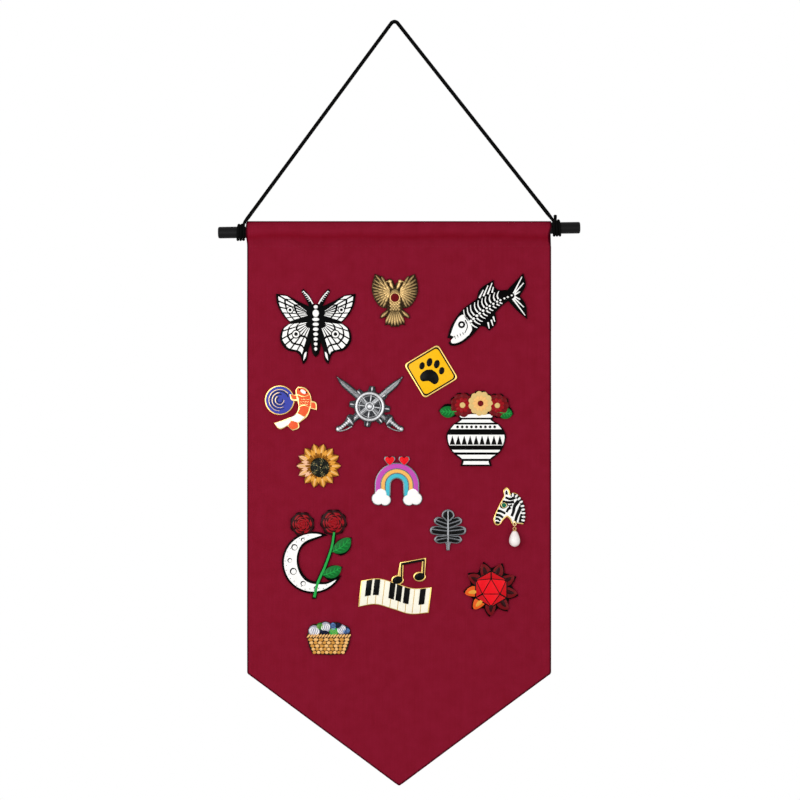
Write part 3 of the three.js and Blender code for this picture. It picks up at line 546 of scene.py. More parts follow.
def pocket_end(x, y, z):
    """How far the pocket's ends stand out or, at its top corners and its right mouth, are drawn in."""
    side, radius, flare = (-1, *LEFT_END) if x < middle_x else (1, *RIGHT_END)
    below = min(top_z - z, radius)
    drawn_in = radius - math.sqrt(radius ** 2 - (radius - below) ** 2)
    if side == 1 and y < 0 and seam_z < z < upper_z:
        drawn_in += MOUTH * math.sin(math.pi * (z - seam_z) / (upper_z - seam_z))
    out = flare * ease(z, seam_z, foot_z) - drawn_in
    return side * out * abs((x - middle_x) / half_width) ** END_POWER


print("the cloth lies flat under", len(badge_boxes), "pieces")

# %% [markdown]
# A flat grid is cut to the cloth's outline first, as a sewer would cut it: one plane takes off each slanted
# side, and a few more round the corners. Then it is bent into its hanging shape. The flat place of each point
# stays with it as a UV map in metres, for the weave and the dark line along the edges.

# %% Cut and hang
CELL = 2.5 * MM
CORNER_RADIUS, POINT_RADIUS = 2.5 * MM, 1.6 * MM
CUTS = (  # radius, and direction: 0 is straight down, 1 is square to the slanted side and 2 straight out
    (0, 1), (POINT_RADIUS, 0), (POINT_RADIUS, 0.33), (POINT_RADIUS, 0.66), (CORNER_RADIUS, 1.33),
    (CORNER_RADIUS, 1.66),
)


def cut_cloth(length):
    """A flat grid of canvas from the point up, cut to the banner's outline. X is across and Y is along."""
    made = bmesh.new()
    across = round(2 * half_width / CELL)
    bmesh.ops.create_grid(made, x_segments=across, y_segments=round(length / CELL), size=1)
    bmesh.ops.scale(made, vec=(half_width, length / 2, 1), verts=made.verts)
    bmesh.ops.translate(made, vec=(middle_x, length / 2, 0), verts=made.verts)
    flat = math.atan2(slope.y, slope.x)
    upright = math.pi / 2 - flat
    for side in (-1, 1):
        for radius, turn in CUTS:
            if turn <= 1:
                lean = flat * turn
                centre = Vector((middle_x, radius / math.cos(flat), 0))
            else:
                lean = flat + upright * (turn - 1)
                back = radius * math.tan(upright / 2)
                centre = Vector((middle_x + side * (half_width - radius), shoulder_z - point_z + back, 0))
            normal = Vector((side * math.sin(lean), -math.cos(lean), 0))
            geometry = made.verts[:] + made.edges[:] + made.faces[:]
            place = centre + normal * radius
            bmesh.ops.bisect_plane(made, geom=geometry, plane_co=place, plane_no=normal, clear_outer=True)
    return made


def hang(made, place):
    """Bends flat cloth into its hanging shape, and keeps its flat place as a UV map in metres."""
    flat = made.loops.layers.uv.new("flat_cloth")
    for face in made.faces:
        for loop in face.loops:
            loop[flat].uv = loop.vert.co.xy
    for vert in made.verts:
        y, z = place(vert.co.y)
        vert.co = (vert.co.x + pocket_end(vert.co.x, y, z), y + sway(vert.co.x, z), z)
    bmesh.ops.recalc_face_normals(made, faces=made.faces)


# %% [markdown]
# Two marks of painted shade follow from the canvas's shape. Folded edges get a dark line of painted shade:
# the sides, the slants and the crest over the dowel. Below the dowel, where the cloth turns in, the colour is
# painted a deeper red, as the shade of a crease with red light bounced into it. Both marks are worked out
# from distances on the flat cloth.

# %% Painted shade on edges and crease
# Painted shade: a dark line along the folded edges and along the crest over the dowel.
EDGE_SHADE_FULL, EDGE_SHADE_END = 0.6 * MM, 1.4 * MM  # from an edge: where its dark line starts and stops to fade
CREST_SHARE = 0.36  # the crest is seen edge on, so its line is wider along the cloth
# Painted shade: a deeper red band in the crease below the dowel, where the cloth turns in.
CREASE = foot_length - 2.3 * MM
CREASE_REACH = 3.8 * MM
CREASE_WANDER, CREASE_STEP = 4 * MM, 30 * MM  # how far the crease wanders, and over what length


def edge_shade_mask(tree, parts):
    """0 on the cloth's edges and its crest, where a dark line of shade is painted, and 1 away from them."""
    offset = add(tree, "Math", {0: parts["X"], 1: middle_x}, operation="SUBTRACT")
    aside = add(tree, "Math", {0: offset}, operation="ABSOLUTE")
    side = add(tree, "Math", {0: half_width, 1: aside}, operation="SUBTRACT")
    drop = add(tree, "Math", {0: aside, 1: slope.y}, operation="MULTIPLY")
    rise = add(tree, "Math", {0: parts["Y"], 1: slope.x}, operation="MULTIPLY")
    slant = add(tree, "Math", {0: rise, 1: drop}, operation="SUBTRACT")
    past = add(tree, "Math", {0: parts["Y"], 1: crest_length}, operation="SUBTRACT")
    away = add(tree, "Math", {0: past}, operation="ABSOLUTE")
    crest = add(tree, "Math", {0: away, 1: CREST_SHARE}, operation="MULTIPLY")
    edge = add(tree, "Math", {0: side, 1: slant}, operation="MINIMUM")
    nearest = add(tree, "Math", {0: edge, 1: crest}, operation="MINIMUM")
    return add(tree, "MapRange", {"Value": nearest, "From Min": EDGE_SHADE_FULL, "From Max": EDGE_SHADE_END})


def crease_shade(tree, flat, parts):
    """1 along the soft crease below the dowel, where shade is painted, and 0 away from it."""
    slow = add(tree, "TexNoise", {"Vector": flat, "Scale": 1 / CREASE_STEP, "Detail": 1})
    wander = {0: slow, 1: CREASE_WANDER, 2: -CREASE - CREASE_WANDER / 2}
    off = add(tree, "Math", wander, operation="MULTIPLY_ADD")
    past = add(tree, "Math", {0: parts["Y"], 1: off}, operation="ADD")
    away = add(tree, "Math", {0: past}, operation="ABSOLUTE")
    return add(tree, "MapRange", {"Value": away, "From Max": CREASE_REACH, "To Min": 1, "To Max": 0})


# %% [markdown]
# Cotton canvas is a plain weave: warp over weft like a chessboard, with thicker slubs here and there, and a
# dye that takes a little unevenly. The weave follows the cloth through its UV map. Its threads are half a
# millimetre apart, finer than a pixel of the photograph, so they show in close views. The grooves between the
# threads are painted darker, as shade.

# %% Cotton canvas
THREAD = 0.55 * MM
SLUB = (0.9 * MM, 35 * MM, 1)  # its width, its length and no depth
SLUB_SHARE = 0.35  # of the unevenness; the rest is cloud
CLOUD = 9 * MM
WEAVE_DEPTH, SLUB_RISE = 0.12 * MM, 0.4  # the depth of the weave, and a slub's height as a share of it
# Painted shade: the colour of the dark line along the folded edges and the crest.
EDGE_SHADE_COLOUR = "#4a0818"
# Painted shade: how much the crease deepens the colour, channel by channel.
CREASE_SHADE_TINT = (0.9, 0.55, 0.63, 1)


def canvas(name, light, dark):
    """Dyed plain-weave canvas, with shade painted along its folded edges, in its crease and in its weave's
    grooves.
    """
    made, tree = new_material(name)
    flat = add(tree, "UVMap", uv_map="flat_cloth")
    parts = add(tree, "SeparateXYZ", {"Vector": flat}).outputs
    waves = []
    for axis in "XY":
        turn = add(tree, "Math", {0: parts[axis], 1: math.pi / THREAD}, operation="MULTIPLY")
        waves.append(add(tree, "Math", {0: turn}, operation="SINE"))
    over = add(tree, "Math", {0: waves[0], 1: waves[1]}, operation="MULTIPLY")
    weave = add(tree, "Math", {0: over}, operation="ABSOLUTE")
    stretched = add(tree, "Mapping", {"Vector": flat, "Scale": [1 / size for size in SLUB]})
    slubs = add(tree, "TexNoise", {"Vector": stretched, "Scale": 1, "Detail": 2})
    cloud = add(tree, "TexNoise", {"Vector": flat, "Scale": 1 / CLOUD, "Detail": 5})
    thick = add(tree, "Math", {0: slubs, 1: SLUB_SHARE}, operation="MULTIPLY")
    uneven = add(tree, "Math", {0: cloud, 1: 1 - SLUB_SHARE, 2: thick}, operation="MULTIPLY_ADD")
    spread = add(tree, "MapRange", {"Value": uneven, "From Min": 0.3, "From Max": 0.7})
    # Painted shade: the weave's grooves are darkened towards black.
    pits = add(tree, "MapRange", {"Value": weave, "To Min": 0.8, "To Max": 1.06})
    dyed = {MIX_FACTOR: spread, MIX_A: srgb(dark), MIX_B: srgb(light)}
    dyed = add(tree, "Mix", dyed, data_type="RGBA")
    # Painted shade: a dark line along the edges and the crest.
    edge_shaded = {MIX_FACTOR: edge_shade_mask(tree, parts), MIX_A: srgb(EDGE_SHADE_COLOUR), MIX_B: dyed}
    edge_shaded = add(tree, "Mix", edge_shaded, data_type="RGBA")
    # Painted shade: the colour is deepened in the crease below the dowel.
    deep = {MIX_FACTOR: crease_shade(tree, flat, parts), MIX_A: edge_shaded, MIX_B: CREASE_SHADE_TINT}
    deep = add(tree, "Mix", deep, data_type="RGBA", blend_type="MULTIPLY")
    woven = add(tree, "Mix", {MIX_FACTOR: pits, MIX_A: BLACK, MIX_B: deep}, data_type="RGBA")
    height = add(tree, "Math", {0: slubs, 1: SLUB_RISE, 2: weave}, operation="MULTIPLY_ADD")
    relief = add(tree, "Bump", {"Height": height, "Distance": WEAVE_DEPTH, "Strength": 1})
    surface(tree, Base_Color=woven, Normal=relief, Roughness=0.95, Specular_IOR_Level=0.0)
    return made


dyed_canvas = canvas("burgundy_cotton_canvas", "#891a31", "#801528")
# Painted shade: a darker canvas for the rim of each layer, where the turned edge is.
edge_shade_canvas = canvas("canvas_edge_painted_shade", "#521020", "#3f0a17")
print("canvas:", round(THREAD / MM, 2), "mm from thread to thread")

# %% [markdown]
# Each layer is cut, hung and given its thickness by a Solidify modifier, whose rim takes a darker canvas:
# painted shade on the turned edge. The row of stitches below the pocket is the one sewn line that the front
# shows; each stitch is a stretched ball, because only its back stands out of the cloth.

# %% The two layers
SEAM_GAP = 0.3 * MM  # between the seam and the top of the back layer
STITCH, STITCH_GAP, THREAD_RADIUS = 2.4 * MM, 0.9 * MM, 0.22 * MM
STITCH_DROP, STITCH_LIFT = 0.6 * MM, 0.05 * MM  # below the seam, and off the cloth
STITCH_MARGIN = 1 * MM  # at each end of the row


def layer(name, made, nodes):
    """A layer of the pennant, given its thickness as a sheet."""
    area = sum(face.calc_area() for face in made.faces)
    obj = piece(name, made, [dyed_canvas, edge_shade_canvas], "banner", *nodes, slot="canvas")
    thick = obj.modifiers.new("thickness", "SOLIDIFY")
    thick.thickness = CLOTH
    thick.offset = 0
    thick.use_even_offset = True
    thick.material_offset_rim = 1


made = cut_cloth(cloth_length)
hang(made, soft_fold)
layer("front_canvas", made, ["front_panel", "rod_pocket"])

made = cut_cloth(seam_height - SEAM_GAP)
hang(made, lambda distance: (CLOTH / 2, point_z + distance))
layer("back_canvas", made, ["back_panel"])

sewing_thread = two_shades(
    "cotton_sewing_thread", srgb("#6a0f20"), srgb("#7c182b"), 0.4 * MM, Roughness=0.7, Specular_IOR_Level=0.2,
)
made = bmesh.new()
pitch = STITCH + STITCH_GAP
count = int((2 * half_width - 2 * STITCH_MARGIN) / pitch)
for i in range(count):
    ball = bmesh.ops.create_uvsphere(made, u_segments=8, v_segments=6, radius=1)["verts"]
    bmesh.ops.scale(made, vec=(STITCH / 2, THREAD_RADIUS, THREAD_RADIUS), verts=ball)
    at = (middle_x + (i - (count - 1) / 2) * pitch, -CLOTH - STITCH_LIFT, seam_z - STITCH_DROP)
    bmesh.ops.translate(made, vec=at, verts=ball)
piece("pocket_stitches", made, [sewing_thread], "banner", slot="canvas")
print("stitches:", count)

# %% [markdown]
# Behind the cloth each post ends in a rubber clutch: a flange to hold it by and a narrower neck with a blind
# hole. A profile is spun round the post's axis, as on a lathe, and every corner is rounded as a moulded
# piece's is. The rubber is matt and dark, with the faint pits of its mould.

# %% Rubber clutches
LATHE_STEPS = 40
FILLET_DEG = 25  # a sharper corner than this is rounded
CLUTCH_PROFILE = [  # radius and height, in mm
    (0, 4.75), (0.75, 4.75), (0.75, 0), (4.5, 0), (4.5, 0.9), (3, 1.8), (3, 5.6), (0, 5.6),
]
CLUTCH_FILLET = 0.25
MOULD_PIT = 0.4 * MM

rubber = two_shades(
    "matt_black_rubber", srgb("#141414"), srgb("#262626"), MOULD_PIT, (MOULD_PIT, 0.05 * MM),
    Roughness=0.75, Specular_IOR_Level=0.3,
)


def lathe(profile, place, fillet):
    """A round piece about an axis along Y, from corners of radius and height in millimetres."""
    made = bmesh.new()
    verts = [made.verts.new((radius * MM, height * MM, 0)) for radius, height in profile]
    edges = [made.edges.new(pair) for pair in zip(verts, verts[1:])]
    bmesh.ops.spin(
        made, geom=verts + edges, cent=(0, 0, 0), axis=(0, 1, 0), angle=2 * math.pi, steps=LATHE_STEPS,
        use_merge=True,
    )
    bmesh.ops.remove_doubles(made, verts=made.verts, dist=WELD)
    bmesh.ops.recalc_face_normals(made, faces=made.faces)
    corners = [edge for edge in made.edges if edge.calc_face_angle(0) > math.radians(FILLET_DEG)]
    bevel(made, corners, fillet * MM, 3)
    bmesh.ops.translate(made, vec=place, verts=made.verts)
    return made


clutch_nodes = [node for node in frame["nodes"] if "_clutch" in node]
clutch_axes = {}
for node in clutch_nodes:
    low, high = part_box(node)
    clutch_axes[node] = Vector(((low.x + high.x) / 2, low.y, (low.z + high.z) / 2))
    made = lathe(CLUTCH_PROFILE, clutch_axes[node], CLUTCH_FILLET)
    piece(node + "_rubber", made, [rubber], node, node, slot="clutch_rubber")
print("clutches:", len(clutch_nodes))

# %% [markdown]
# A badge is a die-struck plate with raised lines, and enamel in the cells between them. Its drawing is in
# millimetres about the badge's centre. Outlines are lists of runs: the points in one run lie on one smooth
# curve, and two runs meet in a corner. So a drawing needs only the points that its shape turns on.

# %% Drawing tools
CURVE_STEP = 0.5  # mm between points on a drawn curve


def between(before, a, b, after, t):
    """A point on the smooth curve from a to b; the neighbours on either side give its directions."""
    chord = (b - a).length
    leave, arrive = (b - before).normalized() * chord, (after - a).normalized() * chord
    s = 1 - t
    return a * s * s * (1 + 2 * t) + leave * t * s * s + b * t * t * (1 + 2 * s) - arrive * s * t * t


def smooth(knots):
    """Points along one smooth open curve through the knots."""
    knots = [Vector(knot) for knot in knots]
    points = []
    for i, (a, b) in enumerate(zip(knots, knots[1:])):
        before = knots[i - 1] if i else a * 2 - b
        after = knots[i + 2] if i + 2 < len(knots) else b * 2 - a
        steps = max(1, round((b - a).length / CURVE_STEP)) if len(knots) > 2 else 1
        points += [between(before, a, b, after, k / steps) for k in range(steps)]
    return points + [knots[-1]]


def outline(start, *runs):
    """A closed outline from a start point and runs of points."""
    points = [Vector(start)]
    for run in runs:
        points += smooth([points[-1], *run])[1:]
    return points


def ellipse(x, z, across, up=None, first=0, last=360):
    """Points round a circle or an ellipse, or along a part of it."""
    up = up or across
    steps = max(8, round(math.radians(abs(last - first)) * max(across, up) / CURVE_STEP))
    whole = abs(last - first) == 360
    angles = [math.radians(first + (last - first) * i / steps) for i in range(steps + (not whole))]
    return [Vector((x + across * math.cos(a), z + up * math.sin(a))) for a in angles]


def stroke(points, width, end=None):
    """The outline of a line that goes from one width to another."""
    line = smooth(points)
    end = width if end is None else end
    left, right = [], []
    for i, spot in enumerate(line):
        ahead = line[min(i + 1, len(line) - 1)] - line[max(i - 1, 0)]
        half = (width + (end - width) * i / (len(line) - 1)) / 2
        side = ahead.orthogonal().normalized() * half
        left.append(spot + side)
        right.append(spot - side)
    return left + right[::-1]


# %% [markdown]
# Some outlines are turned, moved or mirrored copies of others. A wing is a fan: directions from a root, each
# with its reach to the edge. A cell of the fan lies between two directions and two shares of the reach, so
# rows of cells follow the wing's edge by themselves.

# %% Turned, mirrored and fanned outlines
CELL_STEPS = 6


def turned(points, degrees, x=0, z=0):
    """Points turned anticlockwise, as seen from the front, and then moved."""
    turn = Matrix.Rotation(math.radians(degrees), 2)
    return [turn @ Vector(point) + Vector((x, z)) for point in points]


def mirror(points, side):
    """The same points, or for side -1 their mirror image."""
    return [Vector((side * point[0], point[1])) for point in points]


def reach_at(knots, degrees):
    """How far it is to the edge in one direction, between knots of direction and reach."""
    knots = sorted(knots)
    for (a, near), (b, far) in zip(knots, knots[1:]):
        if degrees <= b:
            return near + (far - near) * min(max((degrees - a) / (b - a), 0), 1)
    return knots[-1][1]


def polar(root, reach, degrees):
    """The point at a reach and a direction from a root."""
    angle = math.radians(degrees)
    return Vector(root) + Vector((math.cos(angle), math.sin(angle))) * reach


def cell(root, knots, first, last, inner, outer):
    """A cell of a fan, between two directions and two shares of the reach."""
    turns = [first + (last - first) * i / CELL_STEPS for i in range(CELL_STEPS + 1)]
    far = [polar(root, reach_at(knots, turn) * outer, turn) for turn in turns]
    near = [polar(root, reach_at(knots, turn) * inner, turn) for turn in turns[::-1]]
    return far + near


# %% [markdown]
# The plating differs from badge to badge: black nickel, bright gold, and antique gold or silver. Each is
# darker in its hollows and brighter on its crowns, by the height above the plate, read from the Y coordinate.
# On antique gold and silver this is a dark patina with crowns rubbed bright; on black nickel, bright gold and
# bright silver it is painted shade.

# %% Plating
# Where the darkening of the hollows fades: patina on the antique platings, painted shade on the polished
# ones.
PATINA_AND_SHADE_START, PATINA_AND_SHADE_END = 0.05 * MM, 1 * MM  # above the plate: where the patina thins, and where it is gone
PATINA_AND_SHADE_CLOUD, PATINA_AND_SHADE_SPREAD = 1.2 * MM, 0.5
STRIKE, STRIKE_DEPTH = 0.25 * MM, 0.006 * MM  # the fine grain that a die leaves
SMOOTHER, ROUGHER = 0.06, 0.08  # how far the roughness wanders either way

front_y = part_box("moth_badge")[0].y


def plating(name, hollow, crown, roughness):
    """Plated metal, darker in its hollows: patina on the antique platings, painted shade on the polished
    ones.
    """
    made, tree = new_material(name)
    place = add(tree, "TexCoord").outputs["Object"]
    height = add(tree, "SeparateXYZ", {"Vector": place}).outputs["Y"]
    limits = {"Value": height, "From Min": front_y - PATINA_AND_SHADE_START, "From Max": front_y - PATINA_AND_SHADE_END}
    rubbed_and_lit = add(tree, "MapRange", limits)
    cloud = add(tree, "TexNoise", {"Vector": place, "Scale": 1 / PATINA_AND_SHADE_CLOUD, "Detail": 3})
    worn = {0: cloud, 1: PATINA_AND_SHADE_SPREAD, 2: -PATINA_AND_SHADE_SPREAD / 2}
    worn = add(tree, "Math", worn, operation="MULTIPLY_ADD")
    share = add(tree, "Math", {0: rubbed_and_lit, 1: worn}, operation="ADD", use_clamp=True)
    shades = {MIX_FACTOR: share, MIX_A: srgb(hollow), MIX_B: srgb(crown)}
    rough = {"Value": cloud, "To Min": roughness - SMOOTHER, "To Max": roughness + ROUGHER}
    grain = add(tree, "TexNoise", {"Vector": place, "Scale": 1 / STRIKE, "Detail": 3})
    surface(
        tree, Base_Color=add(tree, "Mix", shades, data_type="RGBA"), Metallic=1,
        Roughness=add(tree, "MapRange", rough),
        Normal=add(tree, "Bump", {"Height": grain, "Distance": STRIKE_DEPTH, "Strength": 1}),
    )
    return made


# The antique platings keep a patina in their hollows; on black nickel, bright gold and bright silver the same
# darker hollow is painted shade.
PLATING = {
    "black_nickel": plating("black_nickel_plating", "#070707", "#141415", 0.32),
    "bright_gold": plating("polished_gold_plating", "#cba962", "#f0d9a2", 0.24),
    "antique_gold": plating("antiqued_gold_plating", "#211810", "#c4a46e", 0.36),
    "pewter": plating("antiqued_silver_plating", "#242528", "#b6b7b9", 0.36),
    "bright_silver": plating("polished_silver_plating", "#5d5f62", "#d0d1d3", 0.26),
}
print("platings:", len(PLATING))

# %% [markdown]
# Hard enamel is glass, fused in the cells, ground flat and polished. It is glossy, with a faint cloud in its
# colour and a slow swell from the grinding. One chart holds the colours of all the badges.

# %% Enamel
THIN = 0.86  # the shade of thin enamel, as a share of the full colour
ENAMEL_CLOUD = 1.6 * MM
ENAMEL_SWELL = (2.5 * MM, 0.03 * MM)


def enamel(name, colour):
    """Hard enamel of one colour."""
    full = srgb(colour)
    thin = (*[part * THIN for part in full[:3]], 1)
    return two_shades(
        name + "_hard_enamel", thin, full, ENAMEL_CLOUD, ENAMEL_SWELL,
        Roughness=0.26, Specular_IOR_Level=0.06,
    )


CHART = {
    "white": "#f6f5f2", "ivory": "#f5f0de", "black": "#040404", "yellow": "#f3b812", "orange": "#ea5c33",
    "blue": "#4148a6", "amber": "#dd9a3a", "honey": "#8a5412", "brown": "#1c1e17", "magenta": "#bd4cae",
    "teal": "#48b6c6", "apricot": "#f0b45e", "red": "#e6131f", "scarlet": "#c20f1a", "crimson": "#690a12",
    "wine": "#2a0508", "rose": "#930f19", "straw": "#d9b877", "green": "#24a045", "leaf": "#116a2b",
    "tan": "#efbb74", "sienna": "#cf9444", "flame": "#dd5a1d", "navy": "#1d2747", "lime": "#86b157",
    "sky": "#6c96cf", "slate": "#9a98aa", "olive": "#74754d", "peach": "#ecb995",
}
ENAMEL = {name: enamel(name, colour) for name, colour in CHART.items()}
print("enamels:", len(ENAMEL))

# %% [markdown]
# A plate's outline is sliced from its CAD node, so that it fits its place exactly. The slice is loose wire:
# one function follows each closed loop of it, and another puts smooth curves between the corners. A hoop is
# a small circle, spun.

# %% Plate outlines and hoops
CORNER_DEG = 42  # a sharper turn than this in a plate's outline stays a corner
STRAIGHT = 0.02  # radians; a turn smaller than this is none
LONG_SIDE = 6 * MM  # a longer side than this has no curve
SIDE_STEPS = 4
HOOP_STEPS, WIRE_STEPS = 48, 12


def wire_loops(made):
    """The points of each closed loop of wire, in X and Z, without those on a straight line."""
    loops, used = [], set()
    for first in made.verts:
        if first in used:
            continue
        loop, vert, edge = [], first, first.link_edges[0]
        while vert not in used:
            used.add(vert)
            loop.append(vert.co.xz)
            vert = edge.other_vert(vert)
            edge = next(other for other in vert.link_edges if other != edge)
        count = len(loop)
        ways = [loop[i] - loop[i - 1] for i in range(count)]
        loops.append([loop[i] for i in range(count) if ways[i].angle(ways[(i + 1) % count], 0) > STRAIGHT])
    return loops


def rounded_loop(loop):
    """A closed loop with smooth curves between its corners."""
    count = len(loop)
    ways = [loop[(i + 1) % count] - loop[i] for i in range(count)]
    sharp = [ways[i - 1].angle(ways[i]) > math.radians(CORNER_DEG) for i in range(count)]
    points = []
    for i in range(count):
        a, b = loop[i], loop[(i + 1) % count]
        before = a * 2 - b if sharp[i] else loop[i - 1]
        after = b * 2 - a if sharp[(i + 1) % count] else loop[(i + 2) % count]
        steps = 1 if (b - a).length > LONG_SIDE else SIDE_STEPS
        points += [between(before, a, b, after, k / steps) for k in range(steps)]
    return points


def hoop(radius, wire):
    """A hoop of round wire about an axis along Y."""
    made = bmesh.new()
    verts = bmesh.ops.create_circle(made, segments=WIRE_STEPS, radius=wire)["verts"]
    bmesh.ops.translate(made, vec=(radius, 0, 0), verts=verts)
    bmesh.ops.spin(
        made, geom=made.verts[:] + made.edges[:], cent=(0, 0, 0), axis=(0, 1, 0), angle=2 * math.pi,
        steps=HOOP_STEPS, use_merge=True,
    )
    bmesh.ops.remove_doubles(made, verts=made.verts, dist=wire / 100)
    bmesh.ops.recalc_face_normals(made, faces=made.faces)
    return made


def merge(target, made):
    """Joins one bmesh to another."""
    sheet = bpy.data.meshes.new("island")
    made.to_mesh(sheet)
    made.free()
    target.from_mesh(sheet)
    bpy.data.meshes.remove(sheet)


# %% [markdown]
# The plate is its outline, given its thickness and rounded at the front, with posts from the lathe. A flat
# front with many corners is divided into triangles at the end, because a large many-sided face shades badly.

# %% Plates and posts
PLATE = 1.6  # this size and those below are in mm, as the drawings are
SUNK = 0.3  # how deep enamel and relief go into the plate
SLICE = 0.31  # how far behind the plate's front its outline is taken
RIM, RIM_DEG = 0.28, 60  # the radius of the front edge, and the least angle that makes it an edge
POST_RADIUS, POST_TIP, POST_POINT, POST_FILLET = 0.6, 0.12, 1, 0.04


def thicken(made, height):
    """Gives flat faces a thickness towards the front."""
    lifted = bmesh.ops.extrude_face_region(made, geom=made.faces[:])["geom"]
    crown = [part for part in lifted if isinstance(part, bmesh.types.BMVert)]
    bmesh.ops.translate(made, vec=(0, -height, 0), verts=crown)
    bmesh.ops.recalc_face_normals(made, faces=made.faces)


def at_rim(edge):
    """Whether an edge lies between a plate's front and its side."""
    front = all(vert.co.y < front_y + WELD for vert in edge.verts)
    return front and edge.calc_face_angle(0) > math.radians(RIM_DEG)


def sliced(node):
    """The outline of a badge's CAD node as flat faces, at the back of its plate."""
    whole = bmesh.new()
    whole.from_mesh(frame["nodes"][node].data)
    bmesh.ops.remove_doubles(whole, verts=whole.verts, dist=WELD)
    geometry = whole.verts[:] + whole.edges[:] + whole.faces[:]
    bmesh.ops.bisect_plane(
        whole, geom=geometry, plane_co=(0, front_y + SLICE * MM, 0), plane_no=(0, 1, 0), clear_inner=True,
        clear_outer=True,
    )
    made = bmesh.new()
    for loop in wire_loops(whole):
        verts = [made.verts.new((spot.x, front_y + PLATE * MM, spot.y)) for spot in rounded_loop(loop)]
        for i, vert in enumerate(verts):
            made.edges.new((verts[i - 1], vert))
    whole.free()
    bmesh.ops.triangle_fill(made, edges=made.edges[:], use_beauty=True)
    bmesh.ops.dissolve_limit(made, angle_limit=STRAIGHT, verts=made.verts, edges=made.edges)
    return made


def badge_plate(name):
    """The plate of a badge, with its posts."""
    node = name + "_badge"
    made = sliced(node)
    thicken(made, PLATE * MM)
    bevel(made, [edge for edge in made.edges if at_rim(edge)], RIM * MM, 3)
    for flat in [face for face in made.faces if len(face.verts) > 4]:
        around = flat.edges[:]
        made.faces.remove(flat)
        bmesh.ops.triangle_fill(made, edges=around, use_beauty=True)
    bmesh.ops.recalc_face_normals(made, faces=made.faces)
    root, tip = PLATE - SUNK, (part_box(node)[1].y - front_y) / MM
    post = [(0, root), (POST_RADIUS, root), (POST_RADIUS, tip - POST_POINT), (POST_TIP, tip), (0, tip)]
    for clutch, axis in clutch_axes.items():
        if clutch.startswith(name + "_clutch"):
            merge(made, lathe(post, Vector((axis.x, front_y, axis.z)), POST_FILLET))
    return made


# %% [markdown]
# A badge object collects its islands and joins them at the end. A fill is a flat cell with a rounded top
# edge, a dome is a smooth lump, a petal is a leaf-shaped swelling from root to tip, and a ring is a round
# wire. Each goes a little way into the plate, so nothing floats.

# %% The badge
SIDE = 312 * MM  # the cloth's straight side, by which the badges are placed
BADGE_PLACES = {  # across the cloth from its middle, and down from its top, as shares of width and side
    "moth": (-0.274, 0.2346), "bird": (-0.0138, 0.1771), "fish": (0.2891, 0.197), "sign": (0.105, 0.3337),
    "koi": (-0.3563, 0.414), "cutlass": (-0.0967, 0.4051), "bouquet": (0.2529, 0.4583),
    "sunflower": (-0.2641, 0.5424), "rainbow": (-0.0072, 0.58), "leaf": (0.1607, 0.6841),
    "zebra": (0.3615, 0.6553), "moon": (-0.2707, 0.7372), "keyboard": (-0.0138, 0.808),
    "dice": (0.3023, 0.8147), "basket": (-0.2312, 0.9232),
}
CLEAR, PETAL_CLEAR = 0.05, 0.01  # points nearer than this, in mm, are one point
PETAL_CELLS = (12, 6)  # along and across


